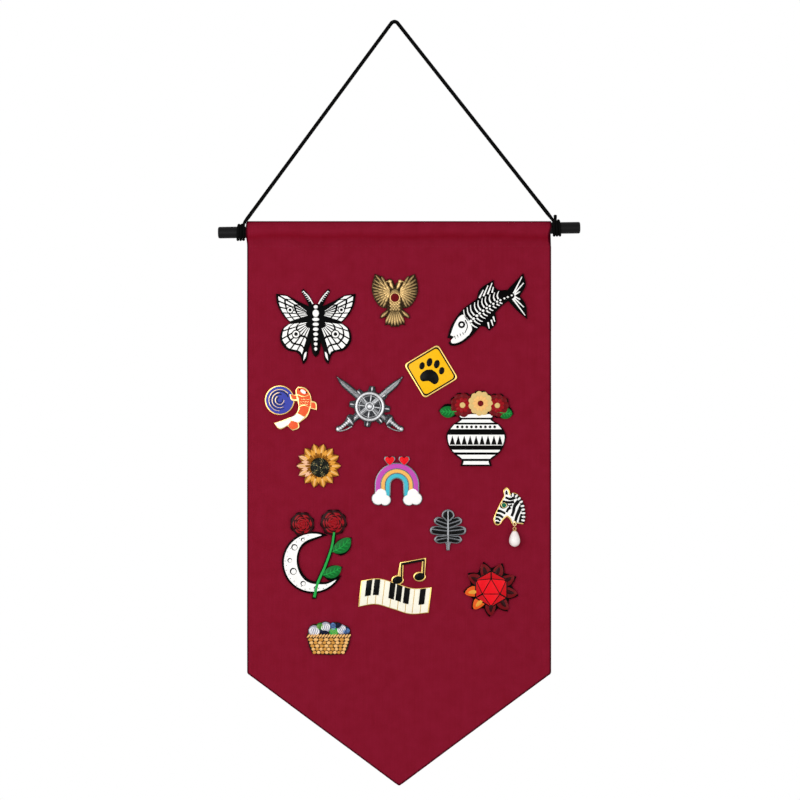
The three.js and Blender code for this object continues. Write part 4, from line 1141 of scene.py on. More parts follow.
class Badge:
    """One badge: a plate from the frame, metal relief and enamel, drawn in millimetres."""

    def __init__(self, name, metal, turn=0, polish=None):
        across, down = BADGE_PLACES[name]
        centre = Vector((middle_x + across * 2 * half_width, front_y, top_z - down * SIDE))
        turn = Matrix.Rotation(-math.radians(turn), 4, "Y")
        self.place = Matrix.Translation(centre) @ turn @ Matrix.Scale(MM, 4)
        self.name, self.metal_name, self.plating = name, metal, PLATING[polish or metal]
        self.metal, self.enamel, self.colours = bmesh.new(), bmesh.new(), []

    def join(self, made, colour):
        """Joins a drawn island to the enamel, or to the metal where there is no colour."""
        target = self.enamel if colour else self.metal
        if colour and colour not in self.colours:
            self.colours.append(colour)
        for face in made.faces:
            face.material_index = self.colours.index(colour) if colour else 0
        made.transform(self.place)
        merge(target, made)

    def fill(self, colour, points, top=0.3, edge=0.12):
        """A flat cell with a rounded top edge."""
        made = bmesh.new()
        spots = [point for i, point in enumerate(points) if (point - points[i - 1]).length > CLEAR]
        made.faces.new([made.verts.new((spot.x, SUNK, spot.y)) for spot in spots])
        thicken(made, top + SUNK)
        bevel(made, [each for each in made.edges if all(vert.co.y < 0 for vert in each.verts)], edge, 2)
        self.join(made, colour)

    def dome(self, colour, x, z, across, up=None, rise=0.5, base=0, steps=20):
        """A smooth round or oval lump."""
        made = bmesh.new()
        bmesh.ops.create_uvsphere(made, u_segments=steps, v_segments=steps // 2, radius=1)
        bmesh.ops.scale(made, vec=(across, rise, up or across), verts=made.verts)
        bmesh.ops.translate(made, vec=(x, -base, z), verts=made.verts)
        self.join(made, colour)

    def petal(self, colour, root, tip, width, rise=0.5, base=0, bend=0, fat=0.5, taper=0.6):
        """A leaf-shaped swelling, widest at the share fat of the way; a taper of 1 is pointed."""
        made = bmesh.new()
        bmesh.ops.create_grid(made, x_segments=PETAL_CELLS[0], y_segments=PETAL_CELLS[1], size=1)
        root, tip = Vector(root), Vector(tip)
        side = (tip - root).orthogonal().normalized()
        skew = math.log(0.5) / math.log(fat)
        for vert in made.verts:
            t, s = (vert.co.x + 1) / 2, vert.co.y
            swell = max(math.sin(math.pi * t ** skew), 0) ** taper
            spot = root.lerp(tip, t) + side * (s * width / 2 * swell + 4 * bend * t * (1 - t))
            vert.co = (spot.x, -base - rise * swell * (1 - s * s), spot.y)
        edges = [edge for edge in made.edges if edge.is_boundary]
        skirt = bmesh.ops.extrude_edge_only(made, edges=edges)["geom"]
        for vert in skirt:
            if isinstance(vert, bmesh.types.BMVert):
                vert.co.y = SUNK
        bmesh.ops.holes_fill(made, edges=[edge for edge in made.edges if edge.is_boundary])
        bmesh.ops.remove_doubles(made, verts=made.verts, dist=PETAL_CLEAR)
        bmesh.ops.recalc_face_normals(made, faces=made.faces)
        self.join(made, colour)

    def ring(self, colour, x, z, radius, wire, base=0):
        """A round wire, lying on the plate."""
        made = hoop(radius, wire)
        bmesh.ops.translate(made, vec=(x, -base, z), verts=made.verts)
        self.join(made, colour)

    def finish(self):
        """The plate with its relief as one piece, and the enamel as another."""
        made = badge_plate(self.name)
        merge(made, self.metal)
        body, metal = self.name + "_badge", self.metal_name
        plate = piece(self.name + "_plate", made, [self.plating], body, body, slot=metal)
        faces = len(plate.data.polygons)
        if self.colours:
            finishes = [ENAMEL[colour] for colour in self.colours]
            faces += len(piece(self.name + "_enamel", self.enamel, finishes, body).data.polygons)
        print(self.name, "badge:", faces, "faces, enamel", ", ".join(self.colours) or "none")


# %% [markdown]
# The moth is white enamel on black nickel. Its wings are fans of cells, cut between directions from the
# shoulder, so the black lines between them run like veins. Rows of cells, eye spots and a banded body follow
# the usual build of a large moth.

# %% Moth
FOREWING = [(-22, 15.8), (-1, 19.8), (17, 24.7), (30, 28.3), (37.8, 21.5), (45, 12.7), (74, 5.8)]
HINDWING = [
    (-3.8, 15), (-13.5, 21), (-30.5, 25.4), (-48, 26), (-61.7, 23.6), (-69, 23.6), (-75, 26), (-78, 30),
    (-82.5, 20), (-86.7, 13.9),
]

moth = Badge("moth", "black_nickel")
for side in (-1, 1):
    for root, knots, cuts, rows in (
        ((3, 8.4), FOREWING, (-19, -8, 3, 13, 22, 30, 38), ((0.16, 0.44), (0.5, 0.72), (0.77, 0.93))),
        ((2.6, 3.4), HINDWING, (-74, -63, -52, -41, -30, -18, -5), ((0.2, 0.46), (0.52, 0.74), (0.79, 0.94))),
    ):
        for row, (inner, outer) in enumerate(rows):
            gap = (2.3, 1.6, 1.2)[row]
            for first, last in zip(cuts, cuts[1:]):
                points = cell(root, knots, first + gap, last - gap, inner, outer)
                moth.fill("white", mirror(points, side))
    for x, z, size in ((17.7, 11.5, 2.6), (13.6, -5.2, 3.1)):
        for share, colour, top in ((1, "black", 0.36), (0.76, "white", 0.42), (0.42, "black", 0.48)):
            moth.fill(colour, ellipse(side * x, z, size * share), top)
    tail = outline((6.9, -17.4), [(8, -19), (8.6, -23.6)], [(6.9, -21), (6.2, -17.6)])
    feeler = stroke([(1.9, 15.6), (4.8, 20.4), (8.6, 24.6)], 0.8, 0.6)
    for points in (tail, feeler):
        moth.fill("white", mirror(points, side))
    for i in range(6):
        root = Vector((3.4, 18)).lerp(Vector((8.4, 24.2)), i / 5)
        barb = stroke([root, root + Vector((1.5 - 0.1 * i, -0.5))], 0.55, 0.3)
        moth.fill("white", mirror(barb, side), 0.26, 0.06)
moth.dome("white", 0, 13.6, 1.5, 1.3, 0.7)
moth.dome("white", 0, 9.2, 2.2, 2.6, 0.8)
for i in range(7):
    moth.dome("white", 0, 5 - 3.4 * i, 2.4 - 0.22 * i, 1.25, 0.7)
moth.finish()

# %% [markdown]
# The bird is a two-headed eagle, an old emblem, in antique gold without enamel. Rows of feathers overlap like
# roof tiles: the long ones first, then shorter ones on top of them. A bezel holds the red stone.

# %% Bird
WING_REACH = [(-75, 11.5), (-55, 11.9), (-31, 11.4), (1.5, 11.8), (31, 13.3), (52, 15.6), (62, 12)]
STONE_PLACE = (0, 2)
SHOULDER, TAIL_ROOT = (3.4, 6), (0, -2)
FEATHERS = ((12, 0.3, 1.03, 0), (9, 0.14, 0.7, 0.25), (6, 0, 0.42, 0.5))  # count, start, end and height

bird = Badge("bird", "antique_gold")
for side in (-1, 1):
    for count, inner, outer, base in FEATHERS:
        for i in range(count):
            turn = -66 + 127 * i / (count - 1)
            reach = reach_at(WING_REACH, turn)
            ends = [polar(SHOULDER, reach * share, turn) for share in (inner, outer)]
            bird.petal(None, *mirror(ends, side), 2, 0.45, base, fat=0.62)
    bird.petal(None, (side * 1.1, 7.6), (side * 3.4, 14.2), 2.7, 0.9, 0.2, bend=-0.4 * side)
    bird.dome(None, side * 3.5, 13.2, 1.5, 1.35, 0.95, 0.2)
    bird.petal(None, (side * 4.2, 13.5), (side * 7.2, 12.4), 1.4, 0.6, 0.1, fat=0.35)
    bird.petal(None, (side * 4, -6.2), (side * 9.9, -12), 2.6, 0.6, fat=0.6)
for i in range(7):
    turn = -90 + 8.5 * (i - 3)
    root, tip = polar(TAIL_ROOT, 3, turn), polar(TAIL_ROOT, 15.6 - 0.2 * abs(i - 3), turn)
    bird.petal(None, root, tip, 2.2, 0.5, 0.1, fat=0.7)
bird.dome(None, 0, 1.2, 4.3, 7.2, 0.75)
for row in range(5):
    for i in range(4 - row % 2):
        x, z = (i - (3 - row % 2) / 2) * 1.9, -1.6 - row * 1.15
        bird.petal(None, (x, z + 1.3), (x, z - 0.9), 1.7, 0.3, 0.6 - 0.08 * row, fat=0.6)
bird.ring(None, *STONE_PLACE, 3.25, 0.5, 0.75)
for i in range(16):
    bird.dome(None, *polar(STONE_PLACE, 4.05, 22.5 * i), 0.42, rise=0.5, base=0.55, steps=8)
bird.finish()

# %% [markdown]
# The fish shows its bones in white on black: a skull with an eye, a spine of beads, ribs that lean back, and
# rays in the fins and the tail. The spine is one curve, and the ribs stand square to it.

# %% Fish
SPINE = [(-13.6, -10), (-4.4, -2), (6, 5), (17, 9.8)]
EYE = (-17.6, -10.4)
RAYS = (  # root and tip, on the back, under the belly and in the tail
    ((-5.4, 8), (-2.6, 13.6)), ((-2.6, 9.2), (0.6, 16.6)), ((0.4, 10.6), (3.4, 18.4)),
    ((3.4, 11.6), (4.3, 15.6)), ((0.6, -8.8), (1.4, -13)), ((2.8, -7), (4, -11.2)),
    ((4.2, -4.8), (5.3, -8.4)), ((18.2, 11.2), (24, 22.6)), ((18.6, 10.8), (25.2, 18.4)),
    ((18.8, 10), (22.6, 12.4)), ((18.8, 9), (22.8, 7)), ((18.4, 8.2), (25.4, 1.6)), ((17.6, 7.6), (26.2, -4)),
)

fish = Badge("fish", "black_nickel")
spine = smooth(SPINE)
for i in range(14):
    spot = spine[round((len(spine) - 1) * i / 13)]
    fish.fill("white", ellipse(*spot, 1.15 - 0.035 * i, 0.95 - 0.025 * i), 0.36)
for i in range(10):
    share = 0.06 + 0.68 * i / 9
    at = round((len(spine) - 1) * share)
    along = (spine[at + 1] - spine[at - 1]).normalized()
    across = along.orthogonal()
    for way, length in ((1, 8.2 - 4.6 * share), (-1, 5.7 - 5.6 * share)):
        root = spine[at] + across * way * 1.2
        middle = root + across * way * length * 0.55 + along * 0.4
        tip = root + across * way * length + along * (2 + 0.6 * way)
        fish.fill("white", stroke([root, middle, tip], 1.15, 0.5))
skull = outline(
    (-13.8, -5.6), [(-17.2, -3.6), (-21.6, -8.2), (-25.4, -17.6)], [(-22.8, -18.8)],
    [(-25, -21.6), (-23.6, -23.4), (-18, -21.8), (-12.4, -17.4)], [(-10.4, -13.2), (-13.8, -5.6)],
)
fish.fill("white", skull)
fish.fill("black", ellipse(*EYE, 2.5), 0.38)
fish.fill("white", ellipse(*EYE, 1.1), 0.46)
fish.fill("black", stroke([(-15.2, -7.2), (-13.6, -11.4), (-15.4, -16.2)], 0.8, 0.5), 0.38, 0.06)
for i in range(4):
    tooth = [(-22.6 + 1.9 * i, -18.2 + 0.8 * i), (-21.8 + 1.9 * i, -20.2 + 0.9 * i)]
    fish.fill("black", stroke(tooth, 0.6, 0.3), 0.38, 0.06)
for root, tip in RAYS:
    fish.fill("white", stroke([root, tip], 1.2, 0.6), 0.3, 0.1)
fish.finish()

# %% [markdown]
# The sign is a warning square in yellow with a black line round it, turned on its corner. Its mark is a paw
# print. The layers are stacked a tenth of a millimetre apart, as printed enamel is.

# %% Sign
SIGN_TURN = 31  # degrees anticlockwise
PAW_LEAN = -14


def rounded_square(half, radius):
    """A square with round corners."""
    flat = half - radius
    corners = ((flat, flat, 0), (-flat, flat, 90), (-flat, -flat, 180), (flat, -flat, 270))
    return [point for x, z, first in corners for point in ellipse(x, z, radius, None, first, first + 90)]


sign = Badge("sign", "bright_gold", SIGN_TURN)
for half, colour, top in ((12.9, "black", 0.25), (11.95, "yellow", 0.33)):
    sign.fill(colour, rounded_square(half, half * 0.2), top)
pad = outline(
    (0, 1.4),
    [(4.2, -0.4), (6.6, -4.8), (4.7, -8), (0, -6.9), (-4.7, -8), (-6.6, -4.8), (-4.2, -0.4), (0, 1.4)],
)
sign.fill("black", turned(pad, PAW_LEAN - SIGN_TURN), 0.42)
for x, z, across, up in ((-7, 2.2, 1.9, 2.6), (-2.6, 5.8, 2, 3), (2.6, 5.8, 2, 3), (7, 2.2, 1.9, 2.6)):
    sign.fill("black", turned(ellipse(x, z, across, up), PAW_LEAN - SIGN_TURN), 0.42)
sign.finish()

# %% [markdown]
# The koi swims round a blue pool. The whole fish is first raised in gold, and its patches of orange and white
# go on top, so that gold lines stay between them. Gold ripples cross the pool.

# %% Koi
KOI_PATCHES = (
    ("orange", (5.4, 13.6), [(9.4, 12.8), (12.4, 9.4)], [(9.2, 8.2), (4.6, 9.6)], [(4.4, 12), (5.4, 13.6)]),
    ("orange", (12.9, 8.6), [(13.4, 5), (12.8, 1)], [(8.8, 2.2), (6, 1.2)], [(6, 5), (5, 8.6)],
     [(9, 7.2), (12.9, 8.6)]),
    ("orange", (12.5, 0.2), [(11.6, -3.2), (9.6, -5.8)], [(6.6, -4.4), (4.9, -3.6)],
     [(6.2, -1.4), (6.2, 0.3)], [(9, 1.2), (12.5, 0.2)]),
    ("white", (9, -6.5), [(7, -8.6), (5, -9.9)], [(1.6, -8.8), (0.2, -6.9)], [(2.9, -5.5), (4.2, -4.4)],
     [(6, -5), (9, -6.5)]),
    ("orange", (4.4, -10.4), [(4.8, -13.2), (1.4, -14.9)], [(-1.2, -12.6), (0.4, -9.4)],
     [(2.2, -9.6), (4.4, -10.4)]),
    ("white", (-2.2, -11.8), [(-7.2, -13.8), (-10.4, -10.8)], [(-5.6, -9.6), (-0.8, -7.9)],
     [(-0.6, -10), (-2.2, -11.8)]),
    ("orange", (14.4, 3.6), [(16.8, 2.8), (17.2, -0.6)], [(14.2, 0.2)], [(14.4, 3.6)]),
    ("orange", (4.2, 5.8), [(1.2, 6.1), (0.1, 8.7)], [(3.6, 8.2)], [(4.2, 5.8)]),
)
KOI_SHAPE = (
    (5.2, 14.6), [(10.2, 13.6), (13.6, 9), (14.3, 4.8)], [(17.4, 3.6), (18, -1.6)], [(13.6, -0.6)],
    [(11.2, -6.2), (5.6, -10.6)], [(5.6, -14), (1.4, -15.8)], [(-2.4, -12.6)],
    [(-7.6, -14.8), (-11.4, -10.6)], [(-6, -8.8), (-1.8, -7.2)], [(3.2, -4.8), (5.4, -0.2), (4.8, 4.6)],
    [(0.6, 5.2), (-0.8, 9.4)], [(3.4, 9), (3.4, 12), (5.2, 14.6)],
)
POOL = (-7.6, 5.2)
PATCH_SPREAD = 0.1  # how far a patch grows past its drawing, as a share


def spread(points, share):
    """The points moved away from their middle, or towards it if the share is below zero."""
    middle = sum(points, Vector((0, 0))) / len(points)
    return [point.lerp(middle, -share) for point in points]


koi = Badge("koi", "bright_gold")
koi.fill("blue", ellipse(*POOL, 9.5), 0.2)
for radius, first, last in ((7.4, 40, 270), (5.2, 90, 300), (3, 120, 360)):
    koi.fill(None, stroke(ellipse(*POOL, radius, None, first, last), 0.5, 0.3), 0.32, 0.08)
    koi.fill("navy", stroke(ellipse(*POOL, radius - 1.1, None, first - 20, last + 30), 0.9, 0.5), 0.28, 0.08)
koi.fill(None, outline(*KOI_SHAPE), 0.34)
for colour, start, *runs in KOI_PATCHES:
    points = outline(start, *runs)
    koi.fill(colour, spread(points, PATCH_SPREAD), 0.5)
koi.fill("white", turned(ellipse(0, 0, 2.2, 1.2), -35, 8.6, 11.1), 0.58)
for row in range(3):
    for i in range(3):
        at = (8.2 + 1.9 * i - 0.5 * row, 6.4 - 1.7 * row)
        koi.fill(None, stroke(ellipse(*at, 0.9, None, 200, 340), 0.26), 0.6, 0.05)
for x, z in ((6.2, 12.5), (10.9, 10.4)):
    koi.dome("black", x, z, 0.6, rise=0.35, base=0.5, steps=10)
koi.finish()

# %% [markdown]
# Two cutlasses cross behind a ship's wheel, in antique silver. Each blade has a ridge down its middle, a
# guard and a bound grip. The wheel lies on top: a rim, eight spokes with turned handles and a hub.

# %% Cutlasses
WHEEL = (0, -2)
SPOKE_START = 7.5  # degrees
BLADE = (
    (-11, -12.2), [(-0.8, -4.6), (10.8, 5.4), (19, 12.8), (22.8, 18.7)],
    [(14.4, 12.8), (4.6, 4.5), (-11, -9)],
)
RIDGE = [(-10, -9.9), (2.4, 0.4), (12.8, 9.4), (20, 16)]
GUARD = [(-11.2, -15), (-15.8, -8.6)]
GRIP = [(-14.4, -12.2), (-20, -16.8)]
KNUCKLE_BOW = [(-12.2, -15.6), (-16.6, -18), (-21, -19)]

cutlass = Badge("cutlass", "pewter")
for side, base in ((-1, 0), (1, 0.12)):
    cutlass.fill(None, mirror(outline(*BLADE), side), 0.3 + base, 0.5)
    cutlass.fill(None, mirror(stroke(RIDGE, 0.7, 0.3), side), 0.55 + base, 0.2)
    cutlass.petal(None, *mirror(GUARD, side), 2.4, 0.8, base)
    start, end = mirror(GRIP, side)
    for i in range(5):
        cutlass.dome(None, *start.lerp(end, i / 4), 1.45, rise=0.75, base=base, steps=14)
    cutlass.dome(None, side * -21.8, -17.6, 1.7, rise=0.95, base=base, steps=16)
    cutlass.fill(None, mirror(stroke(KNUCKLE_BOW, 0.9, 0.7), side), 0.4 + base, 0.2)
for i in range(8):
    turn = 90 - SPOKE_START - 45 * i
    cutlass.petal(None, polar(WHEEL, 2, turn), polar(WHEEL, 9.4, turn), 1.5, 0.55, 0.35)
    cutlass.petal(None, polar(WHEEL, 9.6, turn), polar(WHEEL, 14.2, turn), 1.9, 0.8, 0.2, fat=0.62)
cutlass.ring(None, *WHEEL, 9.2, 1.15, 0.3)
cutlass.ring(None, *WHEEL, 7.4, 0.35, 0.3)
cutlass.ring(None, *WHEEL, 2.7, 0.6, 0.5)
cutlass.dome(None, *WHEEL, 2, rise=1, base=0.3)
cutlass.finish()

# %% [markdown]
# The bouquet stands in a white vase with black bands. The vase's half width comes from one curve, so every
# band follows its belly. The flowers are two rings of petals round a knob.

# %% Bouquet
VASE = [
    (13, 10.2), (12.8, 8.6), (10.9, 5.6), (16.4, 1.8), (20.6, -5.6), (17.6, -15.4), (9.8, -22.6),
    (10.6, -26.4),
]
VASE_WALL = 1
BANDS = ((6.9, 9.4), (3.5, 5.7), (-1, 2.2), (-12.2, -4.8), (-17, -15.2), (-21.4, -18.6), (-25.4, -23))
BAND_STEPS = 8

bouquet = Badge("bouquet", "black_nickel")
vase_side = smooth(VASE)


def vase_half(z):
    """The vase's half width at a height, inside its wall."""
    near = min(vase_side, key=lambda spot: abs(spot.y - z))
    return near.x - VASE_WALL


def vase_band(low, high):
    """The outline of a band across the vase."""
    heights = [low + (high - low) * i / BAND_STEPS for i in range(BAND_STEPS + 1)]
    right = [Vector((vase_half(z), z)) for z in heights]
    return right + mirror(right[::-1], -1)


def flower(badge, x, z, radius, count, colours, heart, lift):
    """Two rings of petals round a knob, lifted off the plate."""
    for ring, (inner, outer, wide) in enumerate(((0.3, 0.95, 1.5), (0.05, 0.62, 1.15))):
        for i in range(count):
            turn = 360 * (i + 0.5 * ring) / count
            root, tip = (polar((x, z), radius * share, turn) for share in (inner, outer))
            width = wide * 2 * math.pi * radius * outer * 0.62 / count
            badge.petal(colours[ring], root, tip, width, 0.45, lift + 0.3 * ring, fat=0.64)
    badge.dome(heart, x, z, radius * 0.22, rise=0.5, base=lift + 0.7)


def veined_leaf(badge, root, tip, width, bend):
    """A leaf with a middle vein and pairs of side veins."""
    root, tip = Vector(root), Vector(tip)
    side = (tip - root).orthogonal().normalized()
    middle = (root + tip) / 2 + side * bend
    badge.petal("leaf", root, tip, width, 0.6, bend=bend)
    badge.fill("green", stroke([root, middle, root.lerp(tip, 0.96)], 0.6, 0.3), 0.74, 0.1)
    for i in range(4):
        share = 0.16 + 0.19 * i
        start = root.lerp(tip, share) + side * 4 * bend * share * (1 - share)
        for way in (-1, 1):
            end = start + (tip - root) * 0.15 + side * way * width * (0.36 - 0.05 * i)
            badge.fill("green", stroke([start, end], 0.5, 0.25), 0.62, 0.06)


for low, high in BANDS:
    bouquet.fill("white", vase_band(low, high))
for i in range(9):
    x = (i - 4) * 4.1
    bouquet.fill("black", outline((x - 1.9, -11.7), [(x + 1.9, -11.7)], [(x, -5.3)]), 0.38, 0.06)
    bouquet.dome("black", x * 0.78, 0.6, 1, rise=0.2, base=0.28, steps=12)
veined_leaf(bouquet, (-13.6, 11.3), (-25.2, 11.5), 8, 0.5)
veined_leaf(bouquet, (14.8, 10.6), (25.2, 9.6), 8, 0)
flower(bouquet, -9.4, 15.6, 8.9, 9, ("crimson", "rose"), "straw", 0.4)
flower(bouquet, 14.6, 15.4, 8.5, 9, ("crimson", "rose"), "straw", 0.4)
flower(bouquet, 3, 16.8, 9.1, 11, ("straw", "tan"), "crimson", 0.9)
bouquet.finish()

# %% [markdown]
# The sunflower has two layers of amber petals and a dark heart of seeds. The seeds follow the golden angle,
# as they do in the plant, and each is a lump of few faces.

# %% Sunflower
PETALS = 14
SEEDS = 130
PALE_PETALS = (9, 10, 11)
GOLDEN_ANGLE = 137.508
HEART = (0.9, -1.2)  # a little off the flower's middle
HEART_RADIUS, HEART_RISE, HEART_BASE = 6.8, 1.2, 0.8
LAYERS = (  # shift in petals, reach, width, enamel, height, taper
    (0.5, 14.9, 6.2, "honey", 0, 0.5), (0.5, 15.4, 3.7, "amber", 0.2, 0.8),
    (0.5, 15.1, 1.3, "tan", 0.6, 0.9), (0, 12.2, 2.9, "amber", 0.3, 0.9),
    (0.5, 10.4, 1.6, "honey", 0.75, 0.8), (0, 8.6, 1.3, "honey", 0.75, 0.8),
)

sunflower = Badge("sunflower", "antique_gold")
for i in range(PETALS):
    for step, outer, width, colour, base, taper in LAYERS:
        turn = 90 - 360 * (i + step) / PETALS
        pale = colour == "amber" and i in PALE_PETALS
        root, tip = polar((0, 0), 5.2, turn), polar((0, 0), outer, turn)
        bend = 0.25 * (-1) ** i
        sunflower.petal("peach" if pale else colour, root, tip, width, 0.5, base, bend, fat=0.42, taper=taper)
sunflower.dome("brown", *HEART, HEART_RADIUS, rise=HEART_RISE, base=HEART_BASE)
for i in range(SEEDS):
    reach = 0.95 * HEART_RADIUS * math.sqrt((i + 0.5) / SEEDS)
    base = HEART_BASE + HEART_RISE * math.sqrt(1 - (reach / HEART_RADIUS) ** 2)
    spot = polar(HEART, reach, GOLDEN_ANGLE * i)
    colour = {0: "straw", 1: "olive", 4: "olive"}.get(i * i % 11, "black")  # in no plain order
    sunflower.dome(colour, *spot, 0.36, rise=0.3, base=base, steps=6)
sunflower.finish()

# %% [markdown]
# The rainbow stands on two clouds, under two hearts. Each band is an arch between two radii, and the clouds
# are heaps of domes.

# %% Rainbow
ARCH = (0, -1.5)
ARCH_FOOT = -9
HEART_SHAPE = (
    (0, 12.2), [(2.6, 14.6), (3.2, 16.6), (1.7, 18), (0, 17)],
    [(-1.7, 18), (-3.2, 16.6), (-2.6, 14.6), (0, 12.2)],
)
HEART_ASIDE = 5

rainbow = Badge("rainbow", "pewter", polish="bright_silver")
for outer, inner, colour in ((14.6, 11.5, "magenta"), (10.8, 8.4, "apricot"), (7.7, 5.1, "teal")):
    over = ellipse(*ARCH, outer, None, 0, 180)
    under = ellipse(*ARCH, inner, None, 180, 0)
    feet = [Vector((x, ARCH_FOOT)) for x in (-outer, -inner, inner, outer)]
    rainbow.fill(colour, over + feet[:2] + under + feet[2:], 0.3)
for side in (-1, 1):
    for x, z, size in ((13, -11, 4.1), (8.2, -11.8, 3.7), (11, -8, 4.1)):
        rainbow.dome("white", side * x, z, size, rise=0.85)
    rainbow.fill("red", turned(outline(*HEART_SHAPE), 0, side * HEART_ASIDE), 0.45, 0.25)
rainbow.finish()

# %% [markdown]
# The leaf is black enamel with silver veins: every lobe is two cells, and the line left between them is the
# vein.

# %% Leaf
LEAF_CELLS = (
    ((0.4, 13), [(2.4, 12.2), (3.6, 9.9), (2.3, 8.2)], [(0.4, 6.4)]),
    ((0.4, 5.6), [(2.6, 7.3)], [(6, 8.2), (8.3, 7.3)], [(4, 5.6), (0.4, 4.4)]),
    ((0.4, 3.7), [(4.6, 5), (8.8, 6.6)], [(8.3, 5), (4.4, 3)], [(0.4, 1.6)]),
    ((0.4, 0.9), [(4.4, 1.7)], [(8.4, 2.1), (11.2, 0.9)], [(5.6, 0.2), (0.4, -0.4)]),
    ((0.4, -1.1), [(5.6, -0.6), (11.5, 0.2)], [(10.8, -2.1), (5, -3.2)], [(0.4, -3.4)]),
    ((0.4, -4.2), [(4.8, -4.8)], [(7.6, -5), (8.8, -6.8)], [(4.4, -5.8), (0.4, -5.2)]),
    ((0.4, -5.9), [(4.4, -6.6), (8.4, -7.6)], [(6.4, -8.8), (2.2, -8.4)], [(0.4, -8.2)]),
)
VEIN = 0.05  # how far a cell draws back from its veins, as a share

leaf = Badge("leaf", "pewter", polish="bright_silver")
for start, *runs in LEAF_CELLS:
    for side in (-1, 1):
        points = mirror(outline(start, *runs), side)
        leaf.fill("black", spread(points, -VEIN), 0.16, 0.06)
leaf.fill(None, stroke([(0, -13.8), (0, 13.2)], 0.55, 0.3), 0.55, 0.15)
leaf.finish()

# %% [markdown]
# The zebra is a brooch: a head in black and white stripes with a gold edge, a mane of white blocks on black
# and a green stone for the eye. A small loop below the neck carries the ring of the pearl.

# %% Zebra
ZEBRA_FACE = (
    (-9.2, -4.8), [(-10, -1.6), (-7.8, 4.4), (-5.1, 10), (-3, 14)], [(-3.2, 17.6), (-1.7, 19.2)],
    [(-0.6, 17.8), (-0.2, 15.2)], [(3.4, 14.6), (6.6, 11.4), (8.4, 5.4), (9, -1.2), (8.4, -4.3)],
    [(5.2, -4), (2.3, -4)], [(1.4, -1.4), (-1.4, 1.2)], [(-4.6, -1.4), (-6.8, -4.8), (-9.2, -4.8)],
)
ZEBRA_STRIPES = (  # each with its width
    ([(6.9, 11.4), (3.8, 7.6), (2.9, 3.6), (1.7, 0.4)], 2.6),
    ([(8.4, 7.6), (6.3, 3), (4.9, -0.6), (4.1, -3.8)], 2.7),
    ([(9, 1.8), (8, -1), (7.2, -4)], 2.4), ([(4.2, 13.4), (0.8, 12.3), (-2.6, 13.4)], 2.1),
    ([(3.4, 10.4), (0, 10), (-4.6, 10.8)], 2), ([(-8.1, 4.3), (-5.4, 3.7), (-2.6, 2.2)], 2.1),
    ([(-9.2, 1.4), (-6.6, 1), (-4.2, -0.6)], 2.1), ([(1, 6.6), (-0.8, 5.2), (-1.8, 3.2)], 2.1),
    ([(-9.5, -1.2), (-7.6, -1.4), (-6, -2.8)], 1.9), ([(2, 8.4), (0.4, 7.6), (-0.6, 8)], 1.4),
)
MUZZLE = ((-9.2, -4.8), [(-9.5, -3.6), (-9, -2.9)], [(-7, -3.4), (-6, -4)], [(-7.2, -4.9), (-9.2, -4.8)])
EAR = ((-2.6, 15.4), [(-2.6, 17.2), (-1.7, 18.4)], [(-1, 16.8), (-1, 15.2)])
MANE = [(1, 15.3), (4.5, 14.6), (8, 10.7), (9.6, 5), (9.8, -1), (9, -4.3)]
MANE_BLOCKS = 9
STUD_LENGTH, STUD_BACK, STUD_ABOVE = 3.1, 1.15, 1.5  # the stud that carries the loop, and where its middle is
LOOP_PLACE = (3.608, -4.95)
LOOP_RADIUS, LOOP_WIRE = 1.02, 0.27
DROP_FORWARD = 2.4  # the loop's middle, in front of the plate

zebra = Badge("zebra", "antique_gold", polish="bright_gold")
zebra.fill("white", outline(*ZEBRA_FACE), 0.3)
for line, width in ZEBRA_STRIPES:
    zebra.fill("black", stroke(line, width, width * 0.7), 0.37, 0.06)
zebra.fill("black", outline(*MUZZLE), 0.38)
zebra.fill("black", outline(*EAR), 0.37, 0.06)
mane = smooth(MANE)
zebra.fill("black", stroke(mane, 2.5), 0.34, 0.1)
for i in range(MANE_BLOCKS):
    at = round((len(mane) - 2) * (i + 0.5) / MANE_BLOCKS)
    across = (mane[at + 1] - mane[at]).orthogonal().normalized() * 1.35
    zebra.petal("white", mane[at] - across, mane[at] + across, 1.5, 0.5, 0.3, taper=0.3)
zebra.fill("black", turned(ellipse(0, 0, 2.9, 2.2), 24, -3.6, 8), 0.4, 0.1)
zebra.ring(None, -3.608, 8.008, 1.75, 0.22, 0.4)
zebra.ring(None, *LOOP_PLACE, LOOP_RADIUS, LOOP_WIRE, DROP_FORWARD)
made = bmesh.new()
bmesh.ops.create_cone(made, segments=24, radius1=0.75, radius2=0.65, depth=STUD_LENGTH, cap_ends=True)
bevel(made, [each for each in made.edges if each.calc_face_angle(0) > 1], 0.2, 2)
made.transform(Matrix.Rotation(math.radians(90), 4, "X"))
stud_place = (LOOP_PLACE[0], -STUD_BACK, LOOP_PLACE[1] + STUD_ABOVE)
bmesh.ops.translate(made, vec=stud_place, verts=made.verts)
zebra.join(made, None)
zebra.finish()

# %% [markdown]
# A white crescent with craters, two roses and a leafy stem make the moon badge. A rose is built from outside
# to inside: broad petals, then smaller ones on top, turned a little each time.

# %% Moon
MOON = (-2.6, -6)
ROSES = ((-10, 20.6, 8.5), (11.6, 21.6, 9.3))
ROSE_RINGS = ((6, 0.97, 1.08), (5, 0.74, 0.92), (5, 0.54, 0.7), (3, 0.34, 0.5))  # petals, reach and width
ROSE_TURN = 33  # degrees from ring to ring
CRATERS = (
    (-15.4, 4.6, 2.2), (-18.6, -4.4, 1.6), (-16.2, -12, 2.4), (-9.4, -20.4, 1.8), (-0.6, -23.6, 1.5),
    (-9.6, 9.8, 1.4),
)
STEM = [(-1.7, -30), (0.6, -20.4), (5.6, -9), (10.4, 5), (12, 15)]

